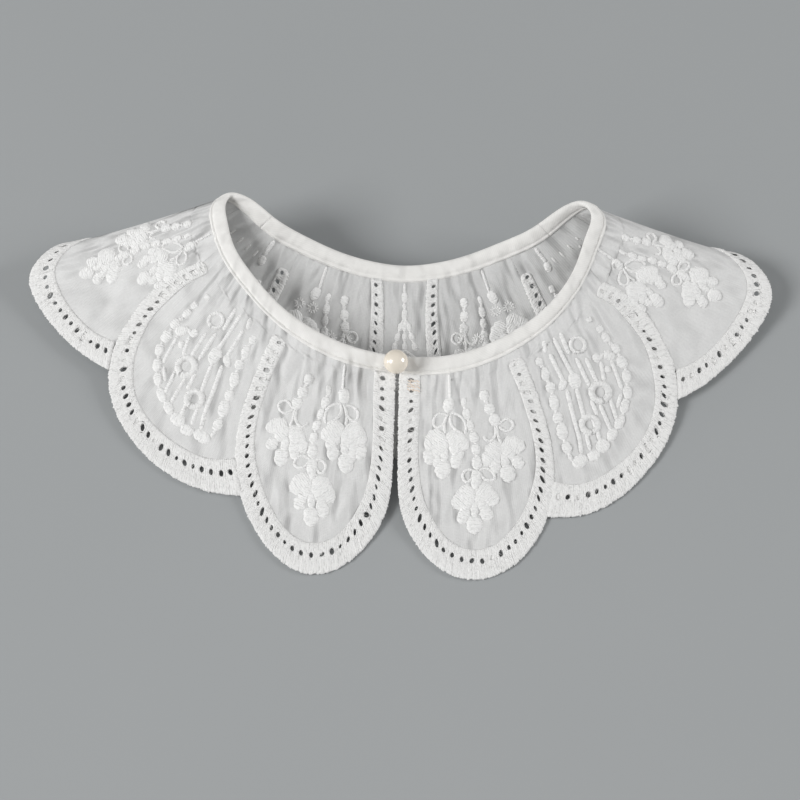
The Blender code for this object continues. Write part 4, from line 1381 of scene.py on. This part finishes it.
def short_stitches(name, ends, width, high, base, look):
    """Short stitches between pairs of places, lying on the surface, as one piece."""
    points = []
    faces = []
    uvs = []
    for first, second in np.asarray(ends, float):
        faces += grid_faces(5, 3, len(points))
        way = second - first
        side = np.array([-way[1], way[0]]) / np.linalg.norm(way)
        for share in (0.0, 0.25, 0.5, 0.75, 1.0):
            middle = first * (1.0 - share) + second * share
            swell = math.sin(math.pi * (0.12 + 0.76 * share))
            for across, rise in ((-1.0, 0.0), (0.0, 1.0), (1.0, 0.0)):
                place = middle + side * across * 0.5 * width
                points.append((*place, base + rise * high * swell))
                uvs.append((share * 0.2, across * 0.05))
    loop, reach, lift = np.array(points).T
    return piece(name, surface(loop, reach, lift), faces, uvs, look)


STRIPS = (
    ("binding_right", "neck_binding_right", BIND_END, BIND_JOIN + 0.2),
    ("binding_back", "neck_binding_back", BIND_JOIN + 0.2, LOOP - BIND_JOIN - 0.2),
    ("binding_left", "neck_binding_left", LOOP - BIND_JOIN - 0.2, LOOP - BIND_END),
)
for name, node, start, stop in STRIPS:
    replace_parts(binding(name, start, stop), node)

# Stitch line along the binding, inside its slim flange
STITCH_PITCH = 2.5
STITCH_LONG = 1.7
line_reach = -0.1 - STITCH_SHARE * BIND_WIDE
starts = np.arange(3.0, LOOP - 4.0, STITCH_PITCH)
short_stitches("binding_stitch_line", [((a, line_reach), (a + STITCH_LONG, line_reach)) for a in starts],
               0.46, 0.24, 0.42, THREAD_LOOK)

# Darned patch beside the button: four rows of four slanting tacks
chance = np.random.RandomState(3)
tacks = []
for k in range(16):
    x = 4.0 + 1.3 * (k % 4) + chance.normal(0.0, 0.15)
    y = 2.2 + 1.2 * (k // 4) + chance.normal(0.0, 0.12)
    tacks.append(((x, y), (x + 1.4, y + 0.8)))
short_stitches("darned_patch", tacks, 0.5, 0.25, 0.80, PEACH_LOOK)

# Pearl, shank and thread loop
under = cloth(PEARL_LOOP, -0.5 * BIND_WIDE)[0]
up = outward(PEARL_LOOP, -0.5 * BIND_WIDE)[0]
seat = (PEARL_X - ORIGIN[0], under[1] - ORIGIN[1], under[2])
turn = Vector((0.0, 0.0, 1.0)).rotation_difference(Vector(up)).to_matrix().to_4x4()
seated = Matrix.Translation(Vector(seat) * MM) @ turn
low = 0.5 * BIND_THICK + 0.2 + SHANK_LONG


def turned_piece(name, profile, steps, look):
    """A round piece from a profile of (radius, height) in millimetres."""
    rows = len(profile)
    angle = np.linspace(0.0, 2.0 * math.pi, steps, endpoint=False)
    points = []
    for radius, height in profile:
        for one in angle:
            points.append(seated @ Vector((radius * math.cos(one) * MM, radius * math.sin(one) * MM,
                                           height * MM)))
    faces = grid_faces(rows, steps, closed=True)
    faces.append(tuple(range(steps - 1, -1, -1)))
    faces.append(tuple((rows - 1) * steps + c for c in range(steps)))
    uv = [(c / steps, r / rows) for r in range(rows) for c in range(steps)]
    return piece(name, np.array(points), faces, uv, look)


radius = 0.5 * PEARL_ACROSS
ball = []
for k in range(49):
    angle = math.pi * min(max(k / 48.0, 0.004), 0.996)
    ball.append((radius * math.sin(angle), low + radius - radius * math.cos(angle)))
pearl = turned_piece("pearl", ball, 96, PEARL_LOOK)
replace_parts(pearl, "pearl_button")
shank_foot = 0.5 * BIND_THICK - 0.1
shank_profile = []
for k in range(13):
    share = k / 12.0
    wavy = 1.0 + 0.10 * math.cos(2.0 * math.pi * SHANK_TURNS * share)
    shank_profile.append((0.5 * SHANK_ACROSS * wavy, shank_foot + (SHANK_LONG + 0.35) * share))
shank = turned_piece("thread_shank", shank_profile, 24, THREAD_LOOK)
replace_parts(shank, "button_shank")
for material_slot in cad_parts["button_loop"].material_slots:
    material_slot.material = THREAD_LOOK

# Table top
size = 2.4
table = bpy.data.meshes.new("table_top")
table.from_pydata([(-size, -size, 0.0), (size, -size, 0.0), (size, size, 0.0), (-size, size, 0.0)],
                  [], [(0, 1, 2, 3)])
look, tree, shader = new_material("table_grey", 0.75)
where = coordinates(tree, "Object")
tone = ramp(tree, speckle(tree, where, 3.0), (0.376, 0.392, 0.398), (0.390, 0.405, 0.411))
tree.links.new(tone, shader.inputs["Base Color"])
table.materials.append(look)
floor = bpy.data.objects.new("table_top", table)
bpy.context.scene.collection.objects.link(floor)

# Soft studio light from the left, a little in front
world = bpy.data.worlds.new("studio")
bpy.context.scene.world = world
world.use_nodes = True
world.node_tree.nodes["Background"].inputs["Color"].default_value = (1.0, 1.0, 1.0, 1.0)
world.node_tree.nodes["Background"].inputs["Strength"].default_value = 0.32


def lamp(name, place, size, energy):
    """A square soft white light aimed at the collar."""
    light = bpy.data.lights.new(name, "AREA")
    light.shape = "SQUARE"
    light.size = size
    light.energy = energy
    thing = bpy.data.objects.new(name, light)
    thing.location = place
    way = Vector((0.0, 0.0, 0.01)) - Vector(place)
    thing.rotation_euler = way.to_track_quat("-Z", "Y").to_euler()
    bpy.context.scene.collection.objects.link(thing)


lamp("key", (-2.80, -1.15, 2.25), 1.4, 92.0)
lamp("fill", (3.00, 0.10, 1.25), 1.2, 48.0)
lamp("window", (-3.0, -0.15, 0.40), 0.9, 9.0)

# Camera at the photograph's angle
lens = bpy.data.cameras.new("view")
lens.sensor_width = 36.0
lens.lens = 72.96
lens.clip_start = 0.01
camera = bpy.data.objects.new("view", lens)
elevation = math.radians(62.0)
distance = 0.670
target = Vector((0.0003, -0.0042, 0.0079))
camera.location = target + distance * Vector((0.0, -math.cos(elevation), math.sin(elevation)))
camera.rotation_euler = (target - camera.location).to_track_quat("-Z", "Y").to_euler()
bpy.context.scene.collection.objects.link(camera)
bpy.context.scene.camera = camera
bpy.context.scene.view_settings.view_transform = "Standard"
